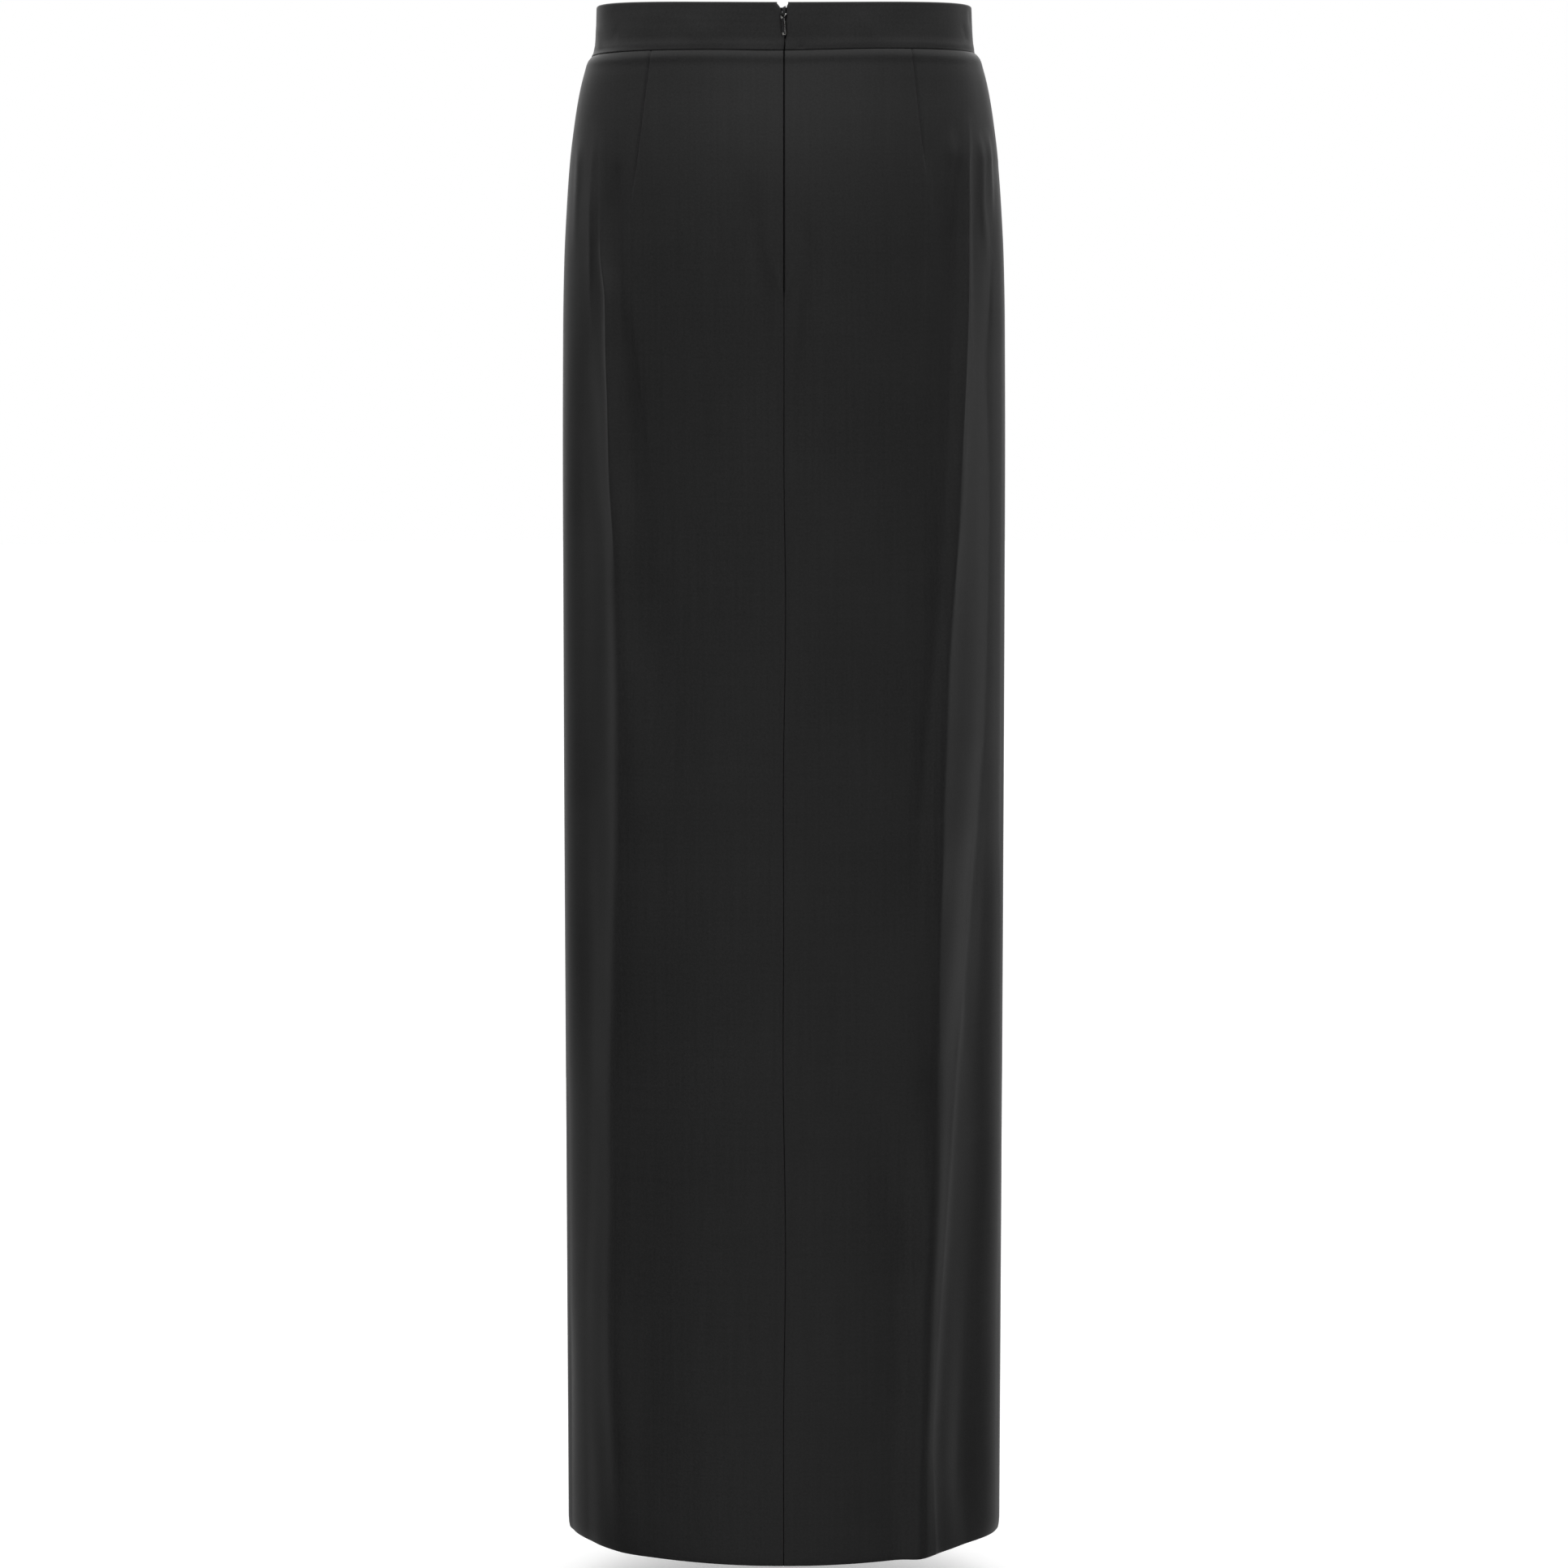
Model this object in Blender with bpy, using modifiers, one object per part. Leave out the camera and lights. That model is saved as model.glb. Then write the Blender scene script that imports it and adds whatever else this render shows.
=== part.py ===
"""Floor-length column skirt in black satin-back crepe, in its worn form.

Units are metres, +Z is up.  The back of the skirt faces -Y, and +X is the
wearer's right.  The origin is in the middle of the waistband, where the
wearer's waist holds the skirt up.

Pieces: a front panel, two back panels with one dart each, a waistband that
opens at the centre back, and a concealed zip of two tapes, a slider and a
pull tab that swings on the slider's lug.
"""

import math

import bmesh
import bpy
import numpy as np
from mathutils import Matrix, Vector

# ---------------------------------------------------------------- sizes

PANEL_THICKNESS = 0.0013
BAND_THICKNESS = 0.0020
SEAM_GAP = 0.0003
ZIP_GAP = 0.0007

HEM_Z = -1.1143
SEAM_Z = -0.0156
SEAM_TILT = 0.0009
SEAM_BACK_DIP = 0.0012
SEAM_DIP_WIDTH = 0.045
BAND_TOP_Z = 0.0168
BAND_TOP_RISE = 0.0022
WAIST_HALF_WIDTH = 0.139
BAND_HALF_WIDTH = 0.136
SEAM_INSET = 0.0005

# The hollow form that the cloth follows, one row for each level.
# The depths go from the side seams to the centre back and the centre front;
# roundness is the exponent of the superellipse.
FORM = (
    # level, half width, depth to the back, depth to the front, roundness
    (0.0190, 0.1358, 0.0975, 0.0965, 3.00),
    (0.0000, 0.1367, 0.0986, 0.0970, 3.00),
    (-0.0130, 0.1379, 0.0993, 0.0974, 3.00),
    (-0.0190, 0.1418, 0.1006, 0.0983, 2.92),
    (-0.0260, 0.1447, 0.1019, 0.0995, 2.82),
    (-0.0440, 0.1493, 0.1050, 0.1015, 2.62),
    (-0.0680, 0.1533, 0.1090, 0.1035, 2.45),
    (-0.0910, 0.1562, 0.1123, 0.1055, 2.32),
    (-0.1210, 0.1586, 0.1154, 0.1070, 2.20),
    (-0.1620, 0.1609, 0.1178, 0.1083, 2.10),
    (-0.2100, 0.1621, 0.1186, 0.1090, 2.05),
    (-0.3300, 0.1631, 0.1175, 0.1095, 2.00),
    (-0.6300, 0.1637, 0.1145, 0.1095, 2.00),
    (-1.0600, 0.1639, 0.1100, 0.1096, 2.00),
    (-1.1143, 0.1639, 0.1096, 0.1096, 2.00),
)

# The largest folds.  Each has stations down the cloth, in millimetres: level,
# distance from the centre of its face (the wearer's right is positive), how
# wide it is to the left and to the right, and how far it stands out (a trough
# is negative).  A sharp fold has a crest, and a soft one is round.
FOLDS = (
    ("back", "sharp", (
        (-60, 143, 9, 7, 0), (-99, 142, 9, 7, 1.8), (-157, 142, 9, 7, 2.6),
        (-238, 139, 12, 7, 2.8), (-284, 135, 14, 8, 2.4), (-337, 131, 18, 8, 1.4),
        (-420, 124, 20, 9, 0),
    )),
    ("back", "sharp", (
        (-145, 140, 16, 14, 0), (-191, 143, 30, 10, 1.9), (-238, 143, 39, 10, 3.3),
        (-337, 133, 42, 19, 6.3), (-395, 125, 37, 17, 7.9), (-512, 118, 45, 18, 8.0),
        (-630, 113, 49, 13, 6.3), (-690, 112, 49, 12, 4.0), (-798, 111, 37, 11, 0),
    )),
    ("back", "soft", (
        (-559, 112, 25, 28, 0), (-631, 118, 34, 24, 3.0), (-690, 111, 42, 26, 5.6),
        (-749, 105, 37, 24, 8.0), (-810, 108, 20, 18, 8.0), (-871, 107, 10, 16, 8.0),
        (-980, 103, 10, 14, 8.0), (-1029, 101, 10, 13, 7.4), (-1100, 101, 10, 15, 4.8),
        (-1129, 103, 10, 15, 2.6),
    )),
    ("back", "sharp", (
        (-91, 189, 17, 29, 0), (-156, 177, 24, 9, -1.4), (-239, 171, 32, 21, -3.4),
        (-340, 177, 40, 21, -4.5), (-460, 175, 41, 24, -4.6), (-582, 164, 28, 36, -4.6),
        (-639, 156, 24, 21, -2.7), (-745, 148, 13, 16, 0),
    )),
    ("back", "soft", (
        (-509, 176, 33, 14, 0), (-582, 175, 29, 19, -2.4), (-643, 171, 29, 23, -5.4),
        (-704, 165, 34, 25, -6.0), (-828, 162, 32, 26, -6.0), (-953, 158, 31, 36, -6.0),
        (-1043, 150, 26, 42, -5.6), (-1129, 146, 23, 42, -2.0),
    )),
    ("back", "soft", (
        (-797, 153, 23, 32, 0), (-886, 155, 28, 35, -1.5), (-1003, 158, 26, 34, -3.2),
        (-1054, 156, 21, 34, -4.0), (-1129, 159, 19, 35, -1.6),
    )),
    ("back", "soft", (
        (-88, 131, 10, 8, 0), (-157, 130, 14, 8, -2.2), (-238, 127, 14, 7, -3.0),
        (-336, 120, 11, 7, -2.7), (-453, 111, 8, 7, -2.1), (-647, 96, 9, 9, 0),
    )),
    ("back", "sharp", (
        (-73, -140, 7, 6, 0), (-128, -140, 7, 6, 1.8), (-157, -138, 7, 6, 3.0),
        (-191, -133, 7, 6, 3.8), (-226, -132, 7, 6, 3.7), (-267, -130, 7, 6, 2.9),
        (-313, -130, 7, 6, 1.5), (-395, -127, 7, 6, 0),
    )),
    ("back", "soft", (
        (-150, -134, 20, 11, 0), (-226, -134, 22, 14, 2.2), (-267, -132, 16, 12, 3.4),
        (-365, -124, 14, 13, 5.0), (-477, -119, 15, 21, 6.4), (-595, -121, 14, 27, 5.2),
        (-716, -127, 13, 28, 3.4), (-778, -130, 12, 24, 2.6), (-838, -130, 12, 22, 2.8),
        (-912, -130, 13, 18, 3.8), (-985, -128, 15, 16, 5.0), (-1047, -126, 14, 17, 4.4),
        (-1129, -123, 14, 21, 1.0),
    )),
    ("back", "soft", (
        (-145, -150, 30, 8, 0), (-227, -160, 22, 19, -2.0), (-370, -170, 24, 29, -4.6),
        (-545, -164, 24, 28, -4.6), (-729, -167, 27, 22, -4.6), (-853, -171, 34, 24, -4.6),
        (-1003, -174, 50, 22, -3.3), (-1129, -171, 49, 20, -3.4),
    )),
    ("back", "sharp", (
        (-64, -146, 10, 7, 0), (-99, -150, 13, 7, 1.5), (-128, -150, 12, 8, 2.6),
        (-157, -152, 10, 10, 2.5), (-221, -154, 10, 11, 0),
    )),
    ("back", "soft", (
        (-94, -124, 9, 6, 0), (-128, -125, 9, 6, -1.3), (-226, -121, 9, 9, -1.5),
        (-313, -116, 8, 12, -1.9), (-365, -115, 7, 9, -1.5), (-500, -110, 7, 8, 0),
    )),
    ("back", "soft", (
        (-100, -25, 7, 7, 0), (-152, -19, 7, 7, -1.6), (-192, -14, 7, 7, -2.2),
        (-300, -18, 10, 8, 0),
    )),
    ("back", "soft", (
        (-130, 15, 7, 7, 0), (-172, 19, 7, 7, -1.5), (-205, 17, 7, 7, -2.2),
        (-323, 11, 8, 8, 0),
    )),
    ("front", "sharp", (
        (-55, -134, 9, 12, 0), (-150, -141, 9, 12, 2.6), (-300, -143, 10, 14, 3.2),
        (-450, -136, 14, 18, 2.4), (-620, -122, 16, 20, 0),
    )),
    ("front", "soft", (
        (-60, -120, 10, 16, 0), (-250, -121, 10, 16, -2.0), (-500, -106, 12, 18, -1.8),
        (-700, -92, 12, 18, 0),
    )),
    ("front", "sharp", (
        (-300, -168, 12, 14, 0), (-500, -152, 12, 14, 2.6), (-750, -136, 12, 16, 3.4),
        (-1000, -124, 12, 16, 3.0), (-1120, -121, 12, 16, 2.6),
    )),
    ("front", "soft", (
        (-60, 138, 14, 10, 0), (-250, 142, 14, 8, 2.6), (-500, 140, 16, 12, 2.6),
        (-700, 134, 18, 14, 1.6), (-840, 130, 18, 14, 0),
    )),
    ("front", "soft", (
        (-75, 120, 16, 10, 0), (-300, 118, 16, 10, -1.8), (-550, 110, 16, 12, -1.6),
        (-780, 100, 16, 12, 0),
    )),
    ("front", "soft", (
        (-620, 154, 16, 12, 0), (-800, 149, 16, 12, 2.2), (-1000, 146, 16, 12, 2.6),
        (-1120, 146, 16, 12, 2.2),
    )),
)
FOLD_CALM = 0.016
FOLD_CREST = 0.12

# The darts of the back panels: where each starts at the waist seam, and
# where it ends, as distances from the centre back.
DARTS = {
    # side: distance at the seam, distance at the end, level of the end, depth
    "left": (-0.0957, -0.1132, -0.1247, 0.0008),
    "right": (0.0917, 0.1045, -0.1077, 0.0008),
}

BACK_SPLIT = (20, 12)
FRONT_COLUMNS = 46
PANEL_ROWS = 28
ROW_BUNCHING = 1.65

# The concealed zip.
ZIP_END_Z = -0.1894
ZIP_END_LENGTH = 0.006
TAPE_WIDTH = 0.0115
TAPE_THICKNESS = 0.0005
TAPE_INNER_EDGE = 0.0011
TAPE_BELOW_ZIP = 0.016
TAPE_TOP_DROP = 0.0016
TAPE_CLEARANCE = 0.00035
TAPE_BEND_DROP = 0.012
TAPE_BEND_LENGTH = 0.010
TAPE_LEVELS_BEHIND_BAND = (0.0060, -0.0040, -0.0080, -0.0120)

# The slot between the ends of the band, one row for each level below the
# band's top edge; left and right are the half widths of the slot.
SLOT_COLUMNS = ("drop", "left", "right")
SLOT = (
    (0.0000, 0.0062, 0.0027),
    (0.0048, 0.0032, 0.0019),
    (0.0062, 0.0018, 0.0016),
    (0.0098, 0.0016, 0.0015),
    (0.0125, 0.0003, 0.0003),
    (0.0500, 0.0003, 0.0003),
)

PIVOT_Y = -0.0999
PIVOT_Z = 0.0087
SLIDER_WIDTH = 0.0066
SLIDER_DEPTH = 0.0026
SLIDER_TOP_Z = 0.0140
SLIDER_BOTTOM_Z = 0.0050
SLIDER_BACK_Y = -0.0918
SLIDER_ROUNDING = 0.0007
LUG_THICKNESS = 0.0012
LUG_RADIUS = 0.00155
LUG_HOLE_RADIUS = 0.00082

PULL_LENGTH = 0.0152
PULL_WIDTH = 0.0033
PULL_THICKNESS = 0.0009
PULL_TIP_RADIUS = 0.0009
PULL_TOP_RADIUS = 0.00054
PULL_BAR = 0.0008
PULL_LOOP_WIDTH = 0.0019
PULL_LOOP_LENGTH = 0.0018
PULL_LEAN = math.radians(3.5)


# ---------------------------------------------------------------- scene

def clear_scene():
    for item in list(bpy.data.objects):
        bpy.data.objects.remove(item, do_unlink=True)


def make_collection(name):
    collection = bpy.data.collections.new(name)
    bpy.context.scene.collection.children.link(collection)
    return collection


def make_material(name, color, roughness, metallic):
    material = bpy.data.materials.new(name)
    material.use_nodes = True
    shader = material.node_tree.nodes["Principled BSDF"]
    shader.inputs["Base Color"].default_value = (*color, 1.0)
    shader.inputs["Roughness"].default_value = roughness
    shader.inputs["Metallic"].default_value = metallic
    material.diffuse_color = (*color, 1.0)
    return material


# ---------------------------------------------------------------- the form

def smooth_row(table, level):
    """Every column of a table at one level, with no overshoot between rows."""
    rows = np.array(sorted(table))
    levels = rows[:, 0]
    level = float(np.clip(level, levels[0], levels[-1]))
    step = np.diff(levels)[:, None]
    slope = np.diff(rows, axis=0) / step
    tangent = np.zeros_like(rows)
    tangent[0], tangent[-1] = slope[0], slope[-1]
    before, after = slope[:-1], slope[1:]
    same_way = before * after > 0.0
    total = np.where(same_way, before + after, 1.0)
    tangent[1:-1] = np.where(same_way, 2.0 * before * after / total, 0.0)
    index = int(np.clip(np.searchsorted(levels, level) - 1, 0, len(levels) - 2))
    t = (level - levels[index]) / step[index, 0]
    return (
        (1 + 2 * t) * (1 - t) ** 2 * rows[index]
        + t * (1 - t) ** 2 * step[index, 0] * tangent[index]
        + t * t * (3 - 2 * t) * rows[index + 1]
        + t * t * (t - 1) * step[index, 0] * tangent[index + 1]
    )


def smooth_step(value):
    value = min(max(value, 0.0), 1.0)
    return value * value * (3.0 - 2.0 * value)


class Ring:
    """Half of the form's outline at one level, from left to right."""

    def __init__(self, face, z):
        _, half_width, back, front, roundness = smooth_row(FORM, z)
        depth = -back if face == "back" else front
        angle = np.linspace(0.0, math.pi, 241)
        c, s = np.cos(angle), np.sin(angle)
        reach = (np.abs(c) ** roundness + np.abs(s) ** roundness) ** (-1.0 / roundness)
        self.x = -reach * half_width * c
        self.y = reach * depth * s
        lengths = np.hypot(np.diff(self.x), np.diff(self.y))
        along = np.concatenate(([0.0], np.cumsum(lengths)))
        self.half_length = along[-1] / 2.0
        self.s = along - self.half_length
        run_x, run_y = np.gradient(self.x), np.gradient(self.y)
        size = np.hypot(run_x, run_y) * (1.0 if face == "back" else -1.0)
        self.out_x, self.out_y = run_y / size, -run_x / size
        self.face = face
        self.z = z

    def at(self, s, out=0.0):
        """The point s metres from the centre of the face, moved out."""
        out_x = np.interp(s, self.s, self.out_x)
        out_y = np.interp(s, self.s, self.out_y)
        x = np.interp(s, self.s, self.x) + out * out_x
        y = np.interp(s, self.s, self.y) + out * out_y
        return Vector((x, y, self.z))


def fold_height(ring, s):
    """How far the folds move the cloth out at one place of a ring."""
    level = ring.z * 1000.0
    height = 0.0
    for face, kind, stations in FOLDS:
        if face != ring.face or not stations[-1][0] < level < stations[0][0]:
            continue
        _, centre, left, right, rise = smooth_row(stations, level)
        away = s * 1000.0 - centre
        across = away / (left if away < 0.0 else right)
        if kind == "sharp":
            height += rise * math.exp(FOLD_CREST - math.hypot(across, FOLD_CREST))
        else:
            height += rise * math.exp(-(across ** 2))
    calm = smooth_step((ring.half_length - abs(s)) / FOLD_CALM)
    return height * calm / 1000.0


def seam_height(x):
    """The level of the waist seam: it tilts a little and dips at the back."""
    tilt = SEAM_TILT * x / WAIST_HALF_WIDTH
    return SEAM_Z + tilt - SEAM_BACK_DIP * math.exp(-((x / SEAM_DIP_WIDTH) ** 2))


def band_top(x):
    return BAND_TOP_Z + BAND_TOP_RISE * (x / BAND_HALF_WIDTH) ** 2


def cloth_point(face, s, z, out=0.0):
    ring = Ring(face, z)
    return ring.at(s, out + fold_height(ring, s))


# ---------------------------------------------------------------- cloth walls

def lofted_wall(name, rows, thickness, material, collection):
    """A cloth wall of even thickness, whose outer side runs through rows."""
    mesh = bpy.data.meshes.new(name)
    count = len(rows[0])
    points = [tuple(point) for row in rows for point in row]
    faces = [
        (r * count + c, (r + 1) * count + c, (r + 1) * count + c + 1, r * count + c + 1)
        for r in range(len(rows) - 1)
        for c in range(count - 1)
    ]
    mesh.from_pydata(points, [], faces)
    mesh.update()
    wall = bpy.data.objects.new(name, mesh)
    collection.objects.link(wall)
    mesh.materials.append(material)
    solidify = wall.modifiers.new("Cloth", "SOLIDIFY")
    solidify.thickness = thickness
    solidify.offset = -1.0
    return wall


def panel_levels():
    """Shares of the way from the waist seam to the hem, closer near the waist."""
    return [(row / PANEL_ROWS) ** ROW_BUNCHING for row in range(PANEL_ROWS + 1)]


def centre_back_gap(z):
    """Half of the gap between the back panels, wider along the zip."""
    along_zip = smooth_step((z - ZIP_END_Z) / ZIP_END_LENGTH)
    return SEAM_GAP / 2 + along_zip * (ZIP_GAP - SEAM_GAP) / 2


def dart_line(side, z):
    """The dart's distance from the centre back, and its depth at this level."""
    top_s, bottom_s, bottom_z, depth = DARTS[side]
    t = (SEAM_Z - z) / (SEAM_Z - bottom_z)
    return top_s + (bottom_s - top_s) * min(t, 2.0), depth * smooth_step((1.0 - t) * 2.5)


def back_panel_row(side, share):
    sign = 1.0 if side == "right" else -1.0
    outer, inner = BACK_SPLIT
    row = []
    for column in range(outer + inner + 1):
        z = SEAM_Z
        s = 0.0
        for _ in range(2):
            ring = Ring("back", z)
            dart_s, dart_depth = dart_line(side, z)
            side_s = sign * (ring.half_length - SEAM_GAP / 2)
            middle_s = sign * centre_back_gap(z)
            if column <= inner:
                s = middle_s + (dart_s - middle_s) * column / inner
            else:
                s = dart_s + (side_s - dart_s) * (column - inner) / outer
            top = seam_height(ring.at(s).x) - SEAM_GAP / 2
            z = top + (HEM_Z - top) * share
        inset = 0.0
        if column == inner:
            inset += dart_depth
        if column in (0, outer + inner):
            inset += SEAM_INSET
        if share == 0.0:
            inset += SEAM_INSET
        row.append(cloth_point("back", s, z, -inset))
    return row if side == "right" else row[::-1]


def build_back_panel(side, material, collection):
    rows = [back_panel_row(side, share) for share in panel_levels()]
    return lofted_wall("back_panel_" + side, rows, PANEL_THICKNESS, material, collection)


def front_panel_row(share):
    row = []
    for column in range(FRONT_COLUMNS + 1):
        t = 1.0 - 2.0 * column / FRONT_COLUMNS
        z = SEAM_Z
        for _ in range(2):
            ring = Ring("front", z)
            s = t * (ring.half_length - SEAM_GAP / 2)
            top = seam_height(ring.at(s).x) - SEAM_GAP / 2
            if ring.at(s).y > 0.0:
                top += SEAM_BACK_DIP * math.exp(-((ring.at(s).x / SEAM_DIP_WIDTH) ** 2))
            z = top + (HEM_Z - top) * share
        inset = SEAM_INSET if column in (0, FRONT_COLUMNS) else 0.0
        if share == 0.0:
            inset += SEAM_INSET
        row.append(cloth_point("front", s, z, -inset))
    return row


def build_front_panel(material, collection):
    rows = [front_panel_row(share) for share in panel_levels()]
    return lofted_wall("front_panel", rows, PANEL_THICKNESS, material, collection)


# ---------------------------------------------------------------- waistband

BAND_STATIONS_BACK = 19
BAND_STATIONS_FRONT = 34
BAND_LEVELS = (
    # share of the way up from the waist seam, how far in from the form
    (1.00, 0.0008),
    (0.965, 0.0001),
    (0.86, 0.0),
    (0.82, 0.0),
    (0.72, 0.0),
    (0.64, 0.0),
    (0.14, 0.0),
    (0.00, SEAM_INSET),
)


def slot_half_width(side, drop):
    drops = [row[0] for row in SLOT]
    column = SLOT_COLUMNS.index(side)
    return float(np.interp(drop, drops, [row[column] for row in SLOT]))


def band_stations():
    """(face, share of the half ring) all round, from centre back to centre back."""
    back = [("back", i / BAND_STATIONS_BACK) for i in range(BAND_STATIONS_BACK + 1)]
    front = [("front", 1 - 2 * i / BAND_STATIONS_FRONT) for i in range(1, BAND_STATIONS_FRONT)]
    return back + front + [(face, -share) for face, share in reversed(back)]


def band_row(share, inset):
    stations = band_stations()
    row = []
    for index, (face, t) in enumerate(stations):
        side = "right" if index < len(stations) / 2 else "left"
        sign = 1.0 if side == "right" else -1.0
        z = 0.0
        for _ in range(2):
            ring = Ring(face, z)
            s = t * ring.half_length
            if face == "back":
                slot = slot_half_width(side, band_top(0.0) - z)
                s = sign * (slot + (ring.half_length - slot) * abs(t))
            x = ring.at(s).x
            bottom = seam_height(x) + SEAM_GAP / 2
            if face == "front":
                bottom += SEAM_BACK_DIP * math.exp(-((x / SEAM_DIP_WIDTH) ** 2))
            z = bottom + (band_top(x) - bottom) * share
        row.append(Ring(face, z).at(s, -inset))
    return row


def build_waistband(material, collection):
    rows = [band_row(share, inset) for share, inset in BAND_LEVELS]
    return lofted_wall("waistband", rows, BAND_THICKNESS, material, collection)


# ---------------------------------------------------------------- zip

def tape_offset(z):
    """How far inside the outer form the tape lies: just behind the cloth."""
    band_share = smooth_step((z - SEAM_Z + TAPE_BEND_DROP) / TAPE_BEND_LENGTH)
    cloth = PANEL_THICKNESS + band_share * (BAND_THICKNESS - PANEL_THICKNESS)
    return cloth + SEAM_INSET + TAPE_CLEARANCE


def build_zip_tape(side, material, collection):
    sign = 1.0 if side == "right" else -1.0
    top = band_top(0.0) - TAPE_TOP_DROP
    bottom = ZIP_END_Z - TAPE_BELOW_ZIP
    edges = sorted((sign * TAPE_INNER_EDGE, sign * (TAPE_INNER_EDGE + TAPE_WIDTH)))
    behind_panel = [SEAM_Z - SEAM_BACK_DIP + (HEM_Z - SEAM_Z) * share for share in panel_levels()]
    levels = [top, *TAPE_LEVELS_BEHIND_BAND, *[z for z in behind_panel if z > bottom], bottom]
    stations = np.linspace(edges[0], edges[1], 4)
    rows = [[cloth_point("back", s, z, -tape_offset(z)) for s in stations] for z in levels]
    return lofted_wall("zip_tape_" + side, rows, TAPE_THICKNESS, material, collection)


def mesh_from_curve(curve_object):
    """The evaluated curve as a mesh object with its caps welded."""
    graph = bpy.context.evaluated_depsgraph_get()
    mesh = bpy.data.meshes.new_from_object(curve_object.evaluated_get(graph))
    work = bmesh.new()
    work.from_mesh(mesh)
    bmesh.ops.remove_doubles(work, verts=work.verts, dist=1e-6)
    work.to_mesh(mesh)
    work.free()
    result = bpy.data.objects.new(curve_object.name + "_mesh", mesh)
    result.matrix_world = curve_object.matrix_world
    bpy.data.objects.remove(curve_object, do_unlink=True)
    return result


def outline_object(name, loops, thickness):
    """A flat plate with straight-edged outlines, extruded both ways along Z."""
    curve = bpy.data.curves.new(name, "CURVE")
    curve.dimensions = "2D"
    curve.fill_mode = "BOTH"
    curve.extrude = thickness / 2
    for loop in loops:
        spline = curve.splines.new("POLY")
        spline.points.add(len(loop) - 1)
        spline.use_cyclic_u = True
        for point, (x, y) in zip(spline.points, loop):
            point.co = (x, y, 0.0, 1.0)
    return bpy.data.objects.new(name, curve)


def arc(centre, radius, start, end, steps):
    angles = np.radians(np.linspace(start, end, steps + 1))
    return [(centre[0] + radius * math.cos(a), centre[1] + radius * math.sin(a)) for a in angles]


def build_slider(material, collection, cutters):
    """The slider's body behind the tapes, and its lug through the slot."""
    height = SLIDER_TOP_Z - SLIDER_BOTTOM_Z
    bpy.ops.mesh.primitive_cube_add(size=1.0)
    body = bpy.context.active_object
    body.name = "zip_slider"
    body.data.transform(Matrix.Diagonal((SLIDER_WIDTH, SLIDER_DEPTH, height, 1.0)))
    body.location = (0.0, SLIDER_BACK_Y - SLIDER_DEPTH / 2, SLIDER_TOP_Z - height / 2)
    body.data.materials.append(material)
    for linked in list(body.users_collection):
        linked.objects.unlink(body)
    collection.objects.link(body)
    bevel = body.modifiers.new("Rounded", "BEVEL")
    bevel.width = SLIDER_ROUNDING
    bevel.segments = 2

    # The lug's outline: across it is the way in, and up it is up.
    root = SLIDER_BACK_Y - SLIDER_DEPTH / 2 - PIVOT_Y
    nose = arc((0.0, 0.0), LUG_RADIUS, 90, 270, 10)
    outline = nose + [(root, -LUG_RADIUS * 1.25), (root, LUG_RADIUS * 1.6)]
    hole = arc((0.0, 0.0), LUG_HOLE_RADIUS, 0, 330, 11)
    lug = outline_object("zip_slider_lug", [outline, hole], LUG_THICKNESS)
    bpy.context.scene.collection.objects.link(lug)
    lug.matrix_world = (
        Matrix.Translation((0.0, PIVOT_Y, PIVOT_Z))
        @ Matrix(((0, 0, 1, 0), (1, 0, 0, 0), (0, 1, 0, 0), (0, 0, 0, 1)))
    )
    bpy.context.view_layer.update()
    lug = mesh_from_curve(lug)
    cutters.objects.link(lug)
    lug.hide_render = True
    lug.display_type = "WIRE"
    union = body.modifiers.new("Lug", "BOOLEAN")
    union.operation = "UNION"
    union.object = lug
    return body


def build_pull(material, collection):
    """A slim tab with a loop that hangs in the slider's lug."""
    half = PULL_WIDTH / 2
    top, tip = PULL_BAR / 2 - PULL_TOP_RADIUS, PULL_TIP_RADIUS - PULL_LENGTH
    shoulder, corner = half - PULL_TOP_RADIUS, half - PULL_TIP_RADIUS
    outline = (
        arc((shoulder, top), PULL_TOP_RADIUS, 0, 90, 3)
        + arc((-shoulder, top), PULL_TOP_RADIUS, 90, 180, 3)
        + arc((-corner, tip), PULL_TIP_RADIUS, 180, 270, 4)
        + arc((corner, tip), PULL_TIP_RADIUS, 270, 360, 4)
    )
    loop_half = PULL_LOOP_WIDTH / 2
    loop_top, loop_end = -PULL_BAR / 2, -PULL_BAR / 2 - PULL_LOOP_LENGTH
    hole = [(-loop_half, loop_top), (-loop_half, loop_end), (loop_half, loop_end), (loop_half, loop_top)]
    pull = outline_object("zip_pull", [outline, hole], PULL_THICKNESS)
    pull.data.materials.append(material)
    collection.objects.link(pull)
    pull.location = (0.0, PIVOT_Y, PIVOT_Z)
    pull.rotation_euler = (math.radians(90), -PULL_LEAN, 0.0)
    return pull


# ---------------------------------------------------------------- build

def main():
    clear_scene()
    skirt = make_collection("column_skirt")
    cutters = make_collection("column_skirt_cutters")
    crepe = make_material("black_crepe", (0.020, 0.020, 0.021), 0.55, 0.0)
    band_crepe = make_material("black_crepe_band", (0.023, 0.023, 0.024), 0.55, 0.0)
    tape = make_material("black_zip_tape", (0.014, 0.014, 0.015), 0.85, 0.0)
    metal = make_material("dark_zip_metal", (0.10, 0.10, 0.105), 0.35, 1.0)

    build_front_panel(crepe, skirt)
    build_back_panel("left", crepe, skirt)
    build_back_panel("right", crepe, skirt)
    build_waistband(band_crepe, skirt)
    build_zip_tape("left", tape, skirt)
    build_zip_tape("right", tape, skirt)
    build_slider(metal, skirt, cutters)
    build_pull(metal, skirt)


main()
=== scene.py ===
import math

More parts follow.
